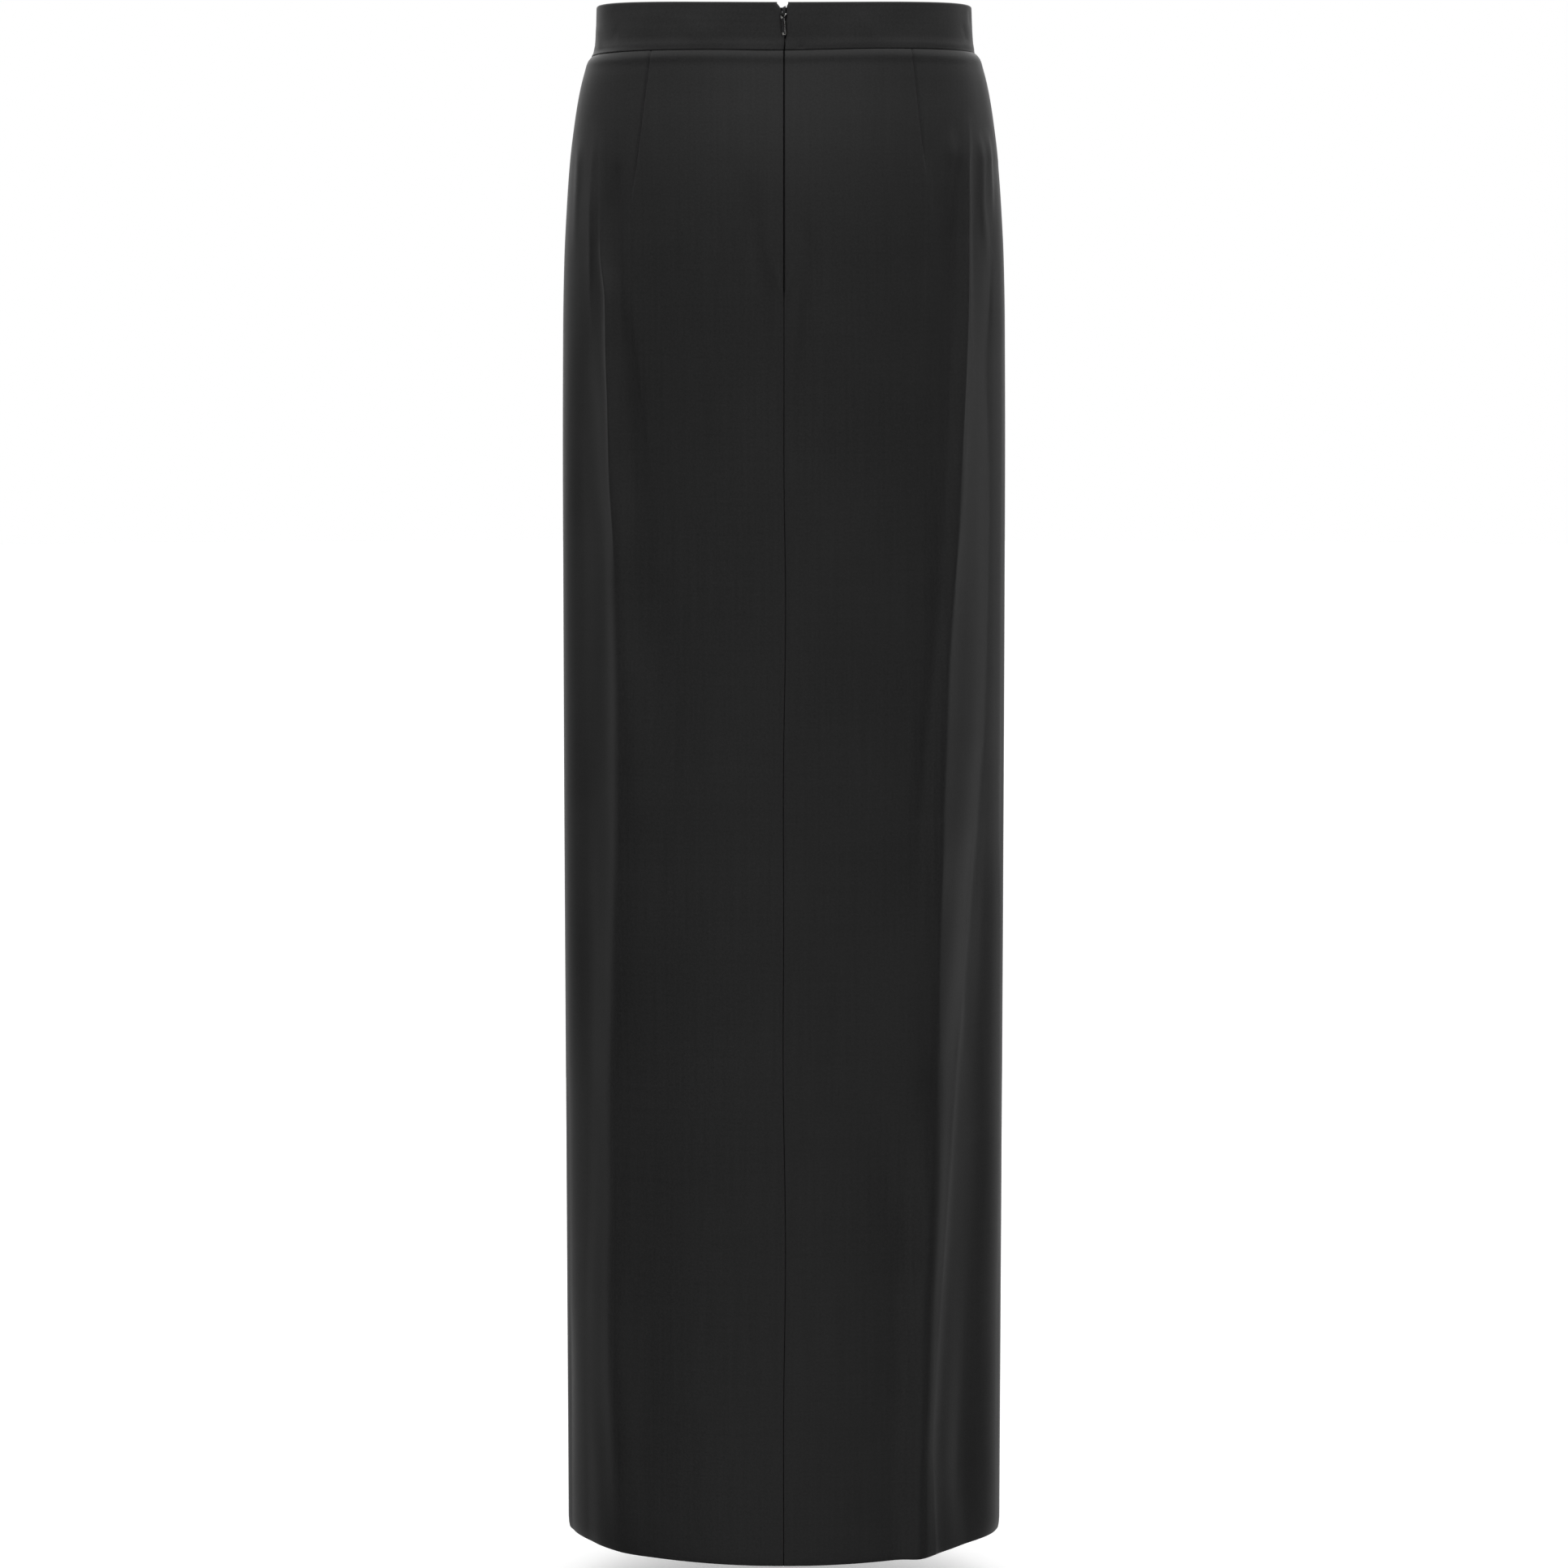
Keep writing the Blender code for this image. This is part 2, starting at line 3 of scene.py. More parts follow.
import bmesh
import bpy
import numpy as np
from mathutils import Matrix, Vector


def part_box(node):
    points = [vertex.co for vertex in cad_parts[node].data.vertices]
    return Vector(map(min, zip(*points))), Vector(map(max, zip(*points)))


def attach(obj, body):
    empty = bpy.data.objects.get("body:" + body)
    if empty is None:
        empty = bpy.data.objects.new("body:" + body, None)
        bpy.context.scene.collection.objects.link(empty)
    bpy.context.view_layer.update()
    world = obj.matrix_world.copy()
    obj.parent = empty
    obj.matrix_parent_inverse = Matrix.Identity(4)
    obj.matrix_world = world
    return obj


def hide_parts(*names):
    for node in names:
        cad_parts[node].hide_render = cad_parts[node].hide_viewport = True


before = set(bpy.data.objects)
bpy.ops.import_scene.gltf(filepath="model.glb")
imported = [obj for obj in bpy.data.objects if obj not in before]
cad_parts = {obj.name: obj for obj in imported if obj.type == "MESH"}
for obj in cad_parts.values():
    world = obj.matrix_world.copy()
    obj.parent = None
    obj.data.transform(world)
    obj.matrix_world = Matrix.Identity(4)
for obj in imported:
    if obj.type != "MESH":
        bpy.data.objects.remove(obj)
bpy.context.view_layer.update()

HEM_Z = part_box("front_panel")[0][2]
CREPE_BODY = "skirt"


# ---------------------------------------------------------------- studio
# The skirt hangs over a white paper floor, as on a stand that was taken away.
# A wide soft box stands behind it, with a narrow one at each side.  The room's
# pale ceiling reaches lower at the sides, and the room glows a little low down
# in front of the skirt and behind it.

def deselect_all():
    if bpy.context.object and bpy.context.object.mode != "OBJECT":
        bpy.ops.object.mode_set(mode="OBJECT")
    bpy.ops.object.select_all(action="DESELECT")


def choose(piece):
    deselect_all()
    piece.select_set(True)
    bpy.context.view_layer.objects.active = piece


def finish_object(name):
    """Names the active object and moves its place into its mesh."""
    piece = bpy.context.object
    piece.name = name
    piece.data.name = name
    choose(piece)
    bpy.ops.object.transform_apply(location=True, rotation=True, scale=True)
    return piece


FLOOR_DROP = 0.045
FLOOR_RADIUS = 14.0

deselect_all()
bpy.ops.mesh.primitive_circle_add(
    vertices=96, radius=FLOOR_RADIUS, fill_type="NGON", location=(0.0, 0.0, HEM_Z - FLOOR_DROP)
)
floor = finish_object("studio_floor")
floor.visible_glossy = False
paper = bpy.data.materials.new("white_floor")
paper.use_nodes = True
paper_shader = paper.node_tree.nodes["Principled BSDF"]
paper_shader.inputs["Base Color"].default_value = (0.88, 0.88, 0.88, 1.0)
paper_shader.inputs["Roughness"].default_value = 0.9
paper_shader.inputs["Emission Color"].default_value = (1.0, 1.0, 1.0, 1.0)
paper_shader.inputs["Emission Strength"].default_value = 0.35
floor.data.materials.append(paper)

CAMERA_DISTANCE = 2.93
CAMERA_Z = -0.2013
CAMERA_TILT = math.radians(6.762)
FRAME_PIXELS = 1932
FOCAL_PIXELS = 4883.0

camera = bpy.data.objects.new("camera", bpy.data.cameras.new("camera"))
bpy.context.scene.collection.objects.link(camera)
camera.data.sensor_width = 36.0
camera.data.lens = camera.data.sensor_width * FOCAL_PIXELS / FRAME_PIXELS
camera.location = (0.0, -CAMERA_DISTANCE, CAMERA_Z)
camera.rotation_euler = (math.radians(90.0) - CAMERA_TILT, 0.0, 0.0)
bpy.context.scene.camera = camera


def soft_box(name, place, aim, width, height, power):
    light = bpy.data.lights.new(name, "AREA")
    light.shape = "RECTANGLE"
    light.size = width
    light.size_y = height
    light.energy = power
    holder = bpy.data.objects.new(name, light)
    bpy.context.scene.collection.objects.link(holder)
    holder.location = place
    holder.visible_camera = False
    holder.rotation_euler = (Vector(aim) - Vector(place)).to_track_quat("-Z", "Y").to_euler()


soft_box("back_box", (0.0, 2.0, -0.35), (0.0, 0.0, -0.35), 2.6, 2.8, 19.5)
soft_box("right_box", (1.80, 1.15, -0.35), (0.0, 0.0, -0.5), 0.5, 2.0, 2.0)
soft_box("left_box", (-1.52, 1.52, -0.35), (0.0, 0.0, -0.5), 0.5, 2.0, 1.4)

room = bpy.data.worlds.new("studio_room")
bpy.context.scene.world = room
room.use_nodes = True
room_nodes = room.node_tree.nodes
room_links = room.node_tree.links


def room_math(operation, *values):
    """A Math node whose inputs are numbers or the sockets of other nodes."""
    node = room_nodes.new("ShaderNodeMath")
    node.operation = operation
    for slot, value in zip(node.inputs, values):
        if isinstance(value, bpy.types.NodeSocket):
            room_links.new(value, slot)
        else:
            slot.default_value = value
    return node.outputs["Value"]


def fade(value, start, end, low, high):
    """low up to start, high from end on, with a smooth change between."""
    node = room_nodes.new("ShaderNodeMapRange")
    node.interpolation_type = "SMOOTHSTEP"
    room_links.new(value, node.inputs["Value"])
    for name, number in zip(("From Min", "From Max", "To Min", "To Max"), (start, end, low, high)):
        node.inputs[name].default_value = number
    return node.outputs["Result"]


direction = room_nodes.new("ShaderNodeTexCoord")
axes = room_nodes.new("ShaderNodeSeparateXYZ")
room_links.new(direction.outputs["Generated"], axes.inputs["Vector"])
to_right, to_back, up = (axes.outputs[name] for name in "XYZ")
to_the_side = room_math("ADD", room_math("MINIMUM", to_back, 0.0), 2.0)
ceiling = fade(room_math("MULTIPLY", to_the_side, up), 0.25, 0.66, 0.015, 0.98)
near_side, low_front = fade(to_back, -0.40, -0.97, 0.06, 1.0), fade(up, -0.08, -0.38, 0.105, 0.33)
far_side, low_back = fade(to_back, 0.28, 0.66, 0.0, 0.55), fade(up, -0.15, -0.30, 0.0, 1.0)
lighter_right = room_math("MULTIPLY_ADD", to_right, 0.3, 1.0)
front_light = room_math("MULTIPLY", near_side, low_front)
back_light = room_math("MULTIPLY", room_math("MULTIPLY", far_side, low_back), lighter_right)
all_light = room_math("ADD", ceiling, room_math("ADD", front_light, back_light))
lit_room = room_nodes["Background"]
lit_room.inputs["Color"].default_value = (1.0, 1.0, 1.0, 1.0)
pale_room = room_nodes.new("ShaderNodeBackground")
pale_room.inputs["Color"].default_value = (1.0, 1.0, 1.0, 1.0)
seen = room_nodes.new("ShaderNodeLightPath")
both = room_nodes.new("ShaderNodeMixShader")
room_links.new(all_light, lit_room.inputs["Strength"])
room_links.new(seen.outputs["Is Camera Ray"], both.inputs["Fac"])
room_links.new(lit_room.outputs["Background"], both.inputs[1])
room_links.new(pale_room.outputs["Background"], both.inputs[2])
room_links.new(both.outputs["Shader"], room_nodes["World Output"].inputs["Surface"])
bpy.context.scene.view_settings.view_transform = "Standard"


# ---------------------------------------------------------------- front panel
# Satin-back crepe with its matt side out, cut in one piece from side seam to
# side seam.  It follows the worn form, with the folds that hang in the cloth;
# its edges turn in at the seams and the hem is turned up 40 mm inside.

SEAM_Z = -0.0156
SEAM_TILT = 0.0009
SEAM_BACK_DIP = 0.0012
SEAM_DIP_WIDTH = 0.045
WAIST_HALF_WIDTH = 0.139

FORM = np.array((
    # z, half width, back, front, roundness
    (0.0190, 0.1358, 0.0975, 0.0965, 3.00),
    (0.0000, 0.1367, 0.0986, 0.0970, 3.00),
    (-0.0130, 0.1379, 0.0993, 0.0974, 3.00),
    (-0.0190, 0.1418, 0.1006, 0.0983, 2.92),
    (-0.0260, 0.1447, 0.1019, 0.0995, 2.82),
    (-0.0440, 0.1493, 0.1050, 0.1015, 2.62),
    (-0.0680, 0.1533, 0.1090, 0.1035, 2.45),
    (-0.0910, 0.1562, 0.1123, 0.1055, 2.32),
    (-0.1210, 0.1586, 0.1154, 0.1070, 2.20),
    (-0.1620, 0.1609, 0.1178, 0.1083, 2.10),
    (-0.2100, 0.1621, 0.1186, 0.1090, 2.05),
    (-0.3300, 0.1631, 0.1175, 0.1095, 2.00),
    (-0.6300, 0.1637, 0.1145, 0.1095, 2.00),
    (-1.0600, 0.1639, 0.1100, 0.1096, 2.00),
    (-1.1143, 0.1639, 0.1096, 0.1096, 2.00),
))[::-1]

# Each fold runs down the cloth through a few stations, in millimetres: the
# level, the distance from the centre of its face (the wearer's right is
# positive), the fold's width to its left and to its right, and its height.
# A soft fold has a round crest, a sharp one a narrow crest and long flanks.
FOLDS = (
    ("back", "sharp", (  # right side's upper line
        (-60, 142.8, 5, 4.5, 0), (-79, 142.8, 5.2, 3.6, 1), (-99, 141.9, 5.4, 2.9, 1.9),
        (-128, 142.3, 6.4, 2.6, 2.5), (-157, 141.8, 7.6, 2.7, 3), (-191, 140.5, 8.4, 3.2, 3.1),
        (-238, 138.3, 11.8, 3.4, 3), (-284, 134.8, 14, 4.4, 2.7), (-337, 131.1, 17.9, 4.2, 1.5),
        (-395, 126.4, 20.4, 3.7, 0.4), (-420, 124.4, 20.4, 3.7, 0),
    )),
    ("back", "sharp", (  # right side's upper roll
        (-145, 140.1, 15.5, 14.1, 0), (-157, 140.1, 15.5, 14.1, 0.6), (-191, 142.7, 30.5, 9.7, 1.9),
        (-238, 143.3, 38.9, 9.9, 3.3), (-284, 139.3, 40.9, 12.8, 4.3), (-337, 133.1, 42.1, 19.3, 6.3),
        (-395, 125.3, 37.3, 17.3, 7.9), (-453, 121, 41.5, 16.3, 8), (-512, 118.5, 44.7, 17.8, 8),
        (-571, 115.8, 47.5, 17.8, 7.9), (-630, 113.5, 49.1, 12.9, 6.3), (-690, 111.6, 49.3, 11.6, 4),
        (-750, 111.4, 37.3, 10.7, 1.5), (-798, 111.4, 37.3, 10.7, 0),
    )),
    ("back", "soft", (  # right side's lower roll
        (-559, 112.1, 25.3, 27.6, 0), (-571, 112.1, 25.3, 27.6, 0.7), (-631, 117.6, 33.8, 24, 3),
        (-690, 111.3, 42.1, 25.5, 5.6), (-749, 105.3, 36.8, 24.1, 8), (-810, 108.5, 20.2, 17.5, 8),
        (-871, 107.2, 10, 16.4, 8), (-931, 104, 12.5, 15.3, 8), (-980, 103.1, 10.2, 13.8, 8),
        (-1029, 101.3, 9.9, 13.3, 8), (-1072, 100.6, 9.9, 14.7, 7.6), (-1100, 101.3, 9.9, 14.7, 6.8),
        (-1129, 102.6, 9.9, 14.7, 5.4),
    )),
    ("back", "sharp", (  # hollow behind the upper roll
        (-91, 189.3, 16.8, 28.6, 0), (-97, 189.3, 16.8, 28.6, -0.7), (-126, 180.1, 23.2, 16, -0.8),
        (-156, 177.1, 23.8, 8.8, -1.4), (-191, 174, 28, 7.9, -1.9), (-239, 171.1, 31.5, 20.9, -3.4),
        (-286, 174.5, 35.4, 19.9, -3.6), (-340, 177.3, 39.7, 21.2, -4.5), (-400, 176.7, 42.8, 22.4, -4.4),
        (-460, 174.9, 41, 24.1, -4.6), (-521, 170, 34.3, 30, -4.6), (-582, 163.9, 28.2, 36.3, -4.6),
        (-639, 155.6, 24.1, 21.2, -2.7), (-697, 147.8, 12.5, 16.2, -1.2), (-745, 147.8, 12.5, 16.2, 0),
    )),
    ("back", "soft", (  # hollow behind the lower roll
        (-509, 176.3, 32.7, 13.5, 0), (-521, 176.3, 32.7, 13.5, -0.6), (-582, 174.8, 29.1, 19.2, -2.4),
        (-643, 171.2, 28.9, 22.6, -5.4), (-704, 165.4, 33.9, 25, -6), (-766, 160.9, 31.2, 26.2, -6),
        (-828, 162.2, 32.3, 26.3, -6), (-890, 160.5, 33.4, 30.4, -6), (-953, 157.7, 31.2, 36.3, -6),
        (-998, 154.7, 28.7, 37.1, -6), (-1043, 149.8, 26.3, 41.5, -5.6), (-1084, 145.8, 22.6, 41.7, -4.4),
        (-1129, 145.8, 22.6, 41.7, -2),
    )),
    ("back", "sharp", (  # line down the right rolls
        (-539, 159.4, 3.2, 9.8, 0), (-582, 159.4, 3.2, 9.8, 0.3), (-637, 152.4, 4.2, 9.6, 0.4),
        (-696, 145.6, 7.1, 5.6, 0.4), (-755, 137, 7.1, 2.2, 0.4), (-814, 130.7, 6.9, 4, 0.6),
        (-874, 125.2, 6.6, 4.2, 0.5), (-934, 119.6, 6.5, 7.5, 0.5), (-982, 115.6, 6.3, 8, 0.4),
        (-1031, 112.7, 6.3, 7.9, 0.4), (-1075, 115, 6.3, 2.6, 0.4), (-1129, 118.5, 6.3, 2.6, 0.4),
    )),
    ("back", "soft", (  # hollow beside the right hem
        (-797, 152.6, 22.7, 31.6, 0), (-821, 152.6, 22.7, 31.6, -0.7), (-886, 155.5, 27.6, 35, -1.5),
        (-953, 157.5, 29.3, 36.2, -2.4), (-1003, 157.6, 26.2, 33.6, -3.2), (-1054, 156.5, 20.5, 34.5, -4),
        (-1098, 157.5, 17, 34.9, -3.4), (-1129, 159.5, 19, 34.9, -1.6),
    )),
    ("back", "soft", (  # hollow inside the upper line
        (-88, 131.2, 10.1, 7.2, 0), (-100, 131.2, 10.1, 7.2, -0.8), (-128, 131, 13.1, 5.7, -1.5),
        (-157, 130.1, 13.7, 6.6, -2.3), (-191, 129.2, 14.5, 6.4, -2.9), (-238, 127.2, 13.7, 4.3, -3.1),
        (-284, 123.8, 12.4, 5.6, -3.1), (-336, 120.1, 10.7, 5.4, -2.7), (-394, 116.1, 9.6, 6.8, -2.6),
        (-453, 110.6, 7.3, 5.1, -2.1), (-511, 105, 7.3, 5.7, -2), (-570, 100.1, 6.4, 7.4, -1.2),
        (-629, 96, 8.8, 9, -0.4), (-647, 96, 8.8, 9, 0),
    )),
    ("back", "sharp", (  # left side's upper line
        (-73, -140.5, 4, 5, 0), (-99, -140.5, 4.2, 3.6, 0.9), (-128, -139.8, 4.6, 3.6, 2.1),
        (-157, -138.2, 4.6, 3.9, 3.5), (-191, -133.4, 4.4, 5.2, 4.4), (-226, -132.6, 4.2, 4.2, 4.3),
        (-267, -131, 3.8, 4.4, 3.4), (-313, -130.4, 3.4, 5.4, 2.2), (-366, -127.4, 3.2, 5, 0.9),
        (-395, -126.6, 3.5, 5, 0),
    )),
    ("back", "soft", (  # left side's long roll
        (-150, -133.7, 20.6, 10.7, 0), (-191, -133.7, 20.6, 10.7, 1), (-226, -133.9, 22.6, 13.5, 2.2),
        (-267, -132.2, 16, 11.6, 3.4), (-313, -128.8, 16.3, 11.5, 4.3), (-365, -123.6, 14, 13, 5),
        (-418, -122.2, 13.4, 15.4, 5.5), (-477, -119.1, 15.4, 20.8, 6.4), (-536, -118.6, 16, 24, 6.2),
        (-595, -120.9, 14.1, 27, 5.2), (-656, -123.3, 14.5, 29, 4.6), (-716, -126.9, 12.8, 28, 3.4),
        (-778, -130.2, 12.5, 24.3, 2.6), (-838, -130.2, 12, 22.3, 2.8), (-912, -129.9, 13.4, 17.5, 3.8),
        (-985, -127.7, 15.1, 15.7, 5), (-1047, -125.7, 13.9, 16.6, 4.4), (-1085, -124.5, 13.9, 18.6, 3),
        (-1129, -123, 13.9, 20.6, 1),
    )),
    ("back", "soft", (  # hollow behind the long roll
        (-145, -149.8, 33, 4.4, 0), (-157, -149.8, 33, 4.4, -0.5), (-191, -155.2, 29.5, 8.4, -1.2),
        (-227, -160.4, 22.4, 19.3, -2), (-268, -166.1, 20.1, 24.2, -2.7),
        (-316, -169.1, 18.5, 28.5, -3.3), (-370, -169.8, 24.2, 28.6, -4.6),
        (-424, -169.3, 24.1, 31.2, -4.6), (-484, -166.5, 25.5, 32, -4.6),
        (-545, -164.3, 23.6, 27.7, -4.6), (-606, -166.2, 24.4, 25.3, -4.6),
        (-667, -165.8, 23, 22.6, -4.6), (-729, -166.9, 27.2, 21.8, -4.6),
        (-791, -169.2, 33.3, 24.6, -4.6), (-853, -171.1, 34.5, 24.5, -4.6),
        (-928, -174.1, 36.2, 21.3, -3.6), (-1003, -174.1, 53.5, 22.2, -3.3),
        (-1067, -171.7, 48.9, 19.7, -3.4), (-1129, -170.7, 48.9, 19.7, -3.4),
    )),
    ("back", "sharp", (  # left hip's outer roll
        (-64, -146, 10, 6, 0), (-79, -147, 11, 6, 0.6), (-99, -149.5, 13, 6.5, 1.5),
        (-128, -150.5, 12, 8.4, 2.6), (-157, -152, 10, 10.3, 2.5), (-191, -154, 9.3, 11, 1.2),
        (-221, -154, 9.3, 11, 0),
    )),
    ("back", "soft", (  # hollow inside the left line
        (-94, -123.5, 7.5, 2.7, 0), (-100, -123.5, 7.5, 2.7, -0.5), (-128, -125.3, 9.5, 4.3, -1.3),
        (-157, -125.1, 6.8, 4, -1.2), (-192, -124.2, 7.5, 5, -1.1), (-226, -121.3, 8.5, 9.2, -1.5),
        (-266, -117.6, 9.6, 12.5, -1.8), (-313, -115.6, 8.3, 11.8, -1.9), (-365, -115.4, 6.1, 9, -1.5),
        (-418, -113.3, 5.8, 8.1, -0.9), (-476, -110.5, 6.1, 8.2, -0.3), (-500, -110.5, 6.1, 8.2, 0),
    )),
    ("back", "soft", (  # right hip's first crease
        (-73, 155.7, 5.5, 4.9, 0), (-93, 160.3, 5.7, 4.4, 1.2), (-122, 161.4, 5.5, 4.2, 1),
        (-151, 167.4, 5.8, 5.2, 0.5), (-174, 171.2, 6.1, 5.5, 0),
    )),
    ("back", "soft", (  # right hip's second crease
        (-70, 168.1, 6, 5.4, 0), (-87, 171.5, 6, 5.3, 1.2), (-110, 175, 6, 5.3, 0.8),
        (-151, 180.1, 6.1, 5.4, 0),
    )),
    ("back", "soft", (  # small crease above the right line
        (-71, 125, 4.4, 3.8, 0), (-88, 125.5, 4.5, 3.8, 0.8), (-117, 123.9, 4.4, 3.8, 0.6),
        (-151, 121.6, 5.8, 4.5, 0),
    )),
    ("back", "soft", (  # fold below the right dart
        (-89, 103.8, 3.3, 4, 0), (-112, 104.8, 3.3, 4, 0.6), (-146, 106.7, 4.7, 5.5, 0.8),
        (-209, 107.4, 6.1, 7, 0.7), (-278, 104.5, 8, 8.3, 0),
    )),
    ("back", "soft", (  # fold below the left dart
        (-70, -114.3, 2.8, 10, 0), (-92, -113.3, 2.8, 10, 0.2), (-125, -112, 2.8, 12, 0.5),
        (-189, -112.3, 2.8, 12, 0.6), (-249, -106.4, 2.8, 12, 0.5), (-315, -97, 3.2, 12, 0),
    )),
    ("back", "soft", (  # crease by the left side seam
        (-75, -172.7, 8.8, 6.6, 0), (-93, -171.1, 6.9, 5.8, 0.9), (-128, -174.4, 6.6, 5.6, 0.5),
        (-162, -176.7, 6.4, 5.5, 0),
    )),
    ("back", "soft", (  # hollow left of the zip's end
        (-100, -25.3, 6.7, 6.7, 0), (-152, -19.4, 6.9, 6.7, -1.6), (-192, -14, 6.9, 6.2, -2.2),
        (-237, -15, 8, 6.9, -1.6), (-300, -17.5, 10.4, 8.1, 0),
    )),
    ("back", "soft", (  # hollow right of the zip's end
        (-130, 15.4, 5.6, 5.7, 0), (-172, 19, 5.6, 6, -1.5), (-205, 17, 5.8, 6.9, -2.2),
        (-254, 14.5, 6.9, 6.9, -1.5), (-323, 10.5, 8, 8.1, 0),
    )),
    ("back", "soft", (  # pull left of the zip's end
        (-158, -9.4, 1.7, 1.7, 0), (-172, -6, 1.7, 1.4, 0.5), (-183, -3.1, 1.4, 1.1, 0.7),
        (-193, -0.9, 1.1, 1.1, 0),
    )),
    ("back", "soft", (  # pull right of the zip's end
        (-158, 9.4, 1.7, 1.7, 0), (-172, 6, 1.4, 1.7, 0.5), (-183, 3.1, 1.1, 1.4, 0.7),
        (-193, 0.9, 1.1, 1.1, 0),
    )),
    ("front", "sharp", (  # left side's upper line
        (-55, -134, 9, 12, 0), (-150, -141, 9, 12, 2.6), (-300, -143, 10, 14, 3.2),
        (-450, -136, 14, 18, 2.4), (-620, -122, 16, 20, 0),
    )),
    ("front", "soft", (  # hollow inside the left line
        (-60, -120, 10, 16, 0), (-250, -121, 10, 16, -2), (-500, -106, 12, 18, -1.8),
        (-700, -92, 12, 18, 0),
    )),
    ("front", "sharp", (  # left side's lower roll
        (-300, -168, 12, 14, 0), (-500, -152, 12, 14, 2.6), (-750, -136, 12, 16, 3.4),
        (-1000, -124, 12, 16, 3), (-1120, -121, 12, 16, 2.6),
    )),
    ("front", "soft", (  # right side's upper roll
        (-60, 138, 14, 10, 0), (-250, 142, 14, 8, 2.6), (-500, 140, 16, 12, 2.6),
        (-700, 134, 18, 14, 1.6), (-840, 130, 18, 14, 0),
    )),
    ("front", "soft", (  # hollow inside the upper roll
        (-75, 120, 16, 10, 0), (-300, 118, 16, 10, -1.8), (-550, 110, 16, 12, -1.6),
        (-780, 100, 16, 12, 0),
    )),
    ("front", "soft", (  # right side's lower roll
        (-620, 154, 16, 12, 0), (-800, 149, 16, 12, 2.2), (-1000, 146, 16, 12, 2.6),
        (-1120, 146, 16, 12, 2.2),
    )),
)
RING_POINTS = 721
SEAM_CALM = 0.016
CREST = 0.12


def smooth_step(value):
    value = np.clip(value, 0.0, 1.0)
    return value * value * (3.0 - 2.0 * value)


def row_at(table, z):
    """A smooth row between the rows of a table whose first column rises."""
    levels = table[:, 0]
    z = float(np.clip(z, levels[0], levels[-1]))
    step = np.diff(levels)[:, None]
    slope = np.diff(table, axis=0) / step
    before, after = slope[:-1], slope[1:]
    same_way = before * after > 0.0
    total = np.where(same_way, before + after, 1.0)
    inner = np.where(same_way, 2.0 * before * after / total, 0.0)
    tangent = np.vstack((slope[:1], inner, slope[-1:]))
    i = int(np.clip(np.searchsorted(levels, z) - 1, 0, len(levels) - 2))
    t = (z - levels[i]) / step[i, 0]
    row = (
        (1 + 2 * t) * (1 - t) ** 2 * table[i]
        + t * (1 - t) ** 2 * step[i, 0] * tangent[i]
        + t * t * (3 - 2 * t) * table[i + 1]
        + t * t * (t - 1) * step[i, 0] * tangent[i + 1]
    )
    return row[1:]


FOLD_TABLES = [(face, kind, np.array(stations)[::-1] / 1000.0) for face, kind, stations in FOLDS]


class HalfRing:
    """The back or the front of the form at one level, from left to right."""

    def __init__(self, face, z):
        self.face = face
        self.z = z
        half_width, back, front, roundness = row_at(FORM, z)
        depth = -back if face == "back" else front
        angle = np.linspace(0.0, math.pi, RING_POINTS)
        c, s = np.cos(angle), np.sin(angle)
        reach = (np.abs(c) ** roundness + np.abs(s) ** roundness) ** (-1.0 / roundness)
        self.x = -reach * half_width * c
        self.y = reach * depth * s
        lengths = np.hypot(np.diff(self.x), np.diff(self.y))
        along = np.concatenate(([0.0], np.cumsum(lengths)))
        self.half_length = along[-1] / 2.0
        self.s = along - self.half_length
        run_x, run_y = np.gradient(self.x), np.gradient(self.y)
        size = np.hypot(run_x, run_y) * (1.0 if face == "back" else -1.0)
        self.out_x, self.out_y = run_y / size, -run_x / size

    def at(self, s, out):
        """Points s along the cloth, moved out by so much."""
        out_x = np.interp(s, self.s, self.out_x)
        out_y = np.interp(s, self.s, self.out_y)
        x = np.interp(s, self.s, self.x) + out * out_x
        y = np.interp(s, self.s, self.y) + out * out_y
        return x, y


def seam_shift(face, x):
    """How far the waist seam lies above or below its middle level."""
    shift = SEAM_TILT * x / WAIST_HALF_WIDTH
    if face == "back":
        shift = shift - SEAM_BACK_DIP * np.exp(-((x / SEAM_DIP_WIDTH) ** 2))
    return shift


def fold_height(ring, s):
    """How far the folds move the cloth out, for an array of places."""
    height = np.zeros_like(s)
    for face, kind, table in FOLD_TABLES:
        if face != ring.face or not table[0, 0] < ring.z < table[-1, 0]:
            continue
        centre, left, right, rise = row_at(table, ring.z)
        across = (s - centre) / np.where(s < centre, left, right)
        if kind == "sharp":
            height += rise * np.exp(CREST - np.sqrt(across ** 2 + CREST ** 2))
        else:
            height += rise * np.exp(-(across ** 2))
    return height * smooth_step((ring.half_length - np.abs(s)) / SEAM_CALM)


CLOTH = 0.0006
LAYER_GAP = 0.0001
SEAM_FOLD = 2 * CLOTH + LAYER_GAP
ALLOWANCE = (0.0120, 0.0085, 0.0050, 0.0022)
FOLD_TURNS = (160.0, 130.0, 90.0, 70.0, 45.0, 20.0)
EDGE_STEPS = (0.0, 0.0005, 0.0012, 0.0022, 0.0036)
GROOVE_HALF_WIDTH = 0.00015
SEAM_FLAT, SEAM_FLAT_FADE = 0.0165, 0.004
SEAM_SHIFT_FADE = 0.25
STEPS_IN_BAND = (0.0080, 0.0050, 0.0025, 0.0010, 0.0003)
STEPS_AT_SEAM = (0.0, 0.00008, 0.0002, 0.0004, 0.0007, 0.0011, 0.0017, 0.0026, 0.0038)
STEPS_AT_HEM = (0.0040, 0.0030, 0.0020)
HEM_TURN = 0.040
HEM_DEPTH = 0.0017
HEM_DEPTH_AT_SEAM = 0.0027
HEM_DROP = 0.0007
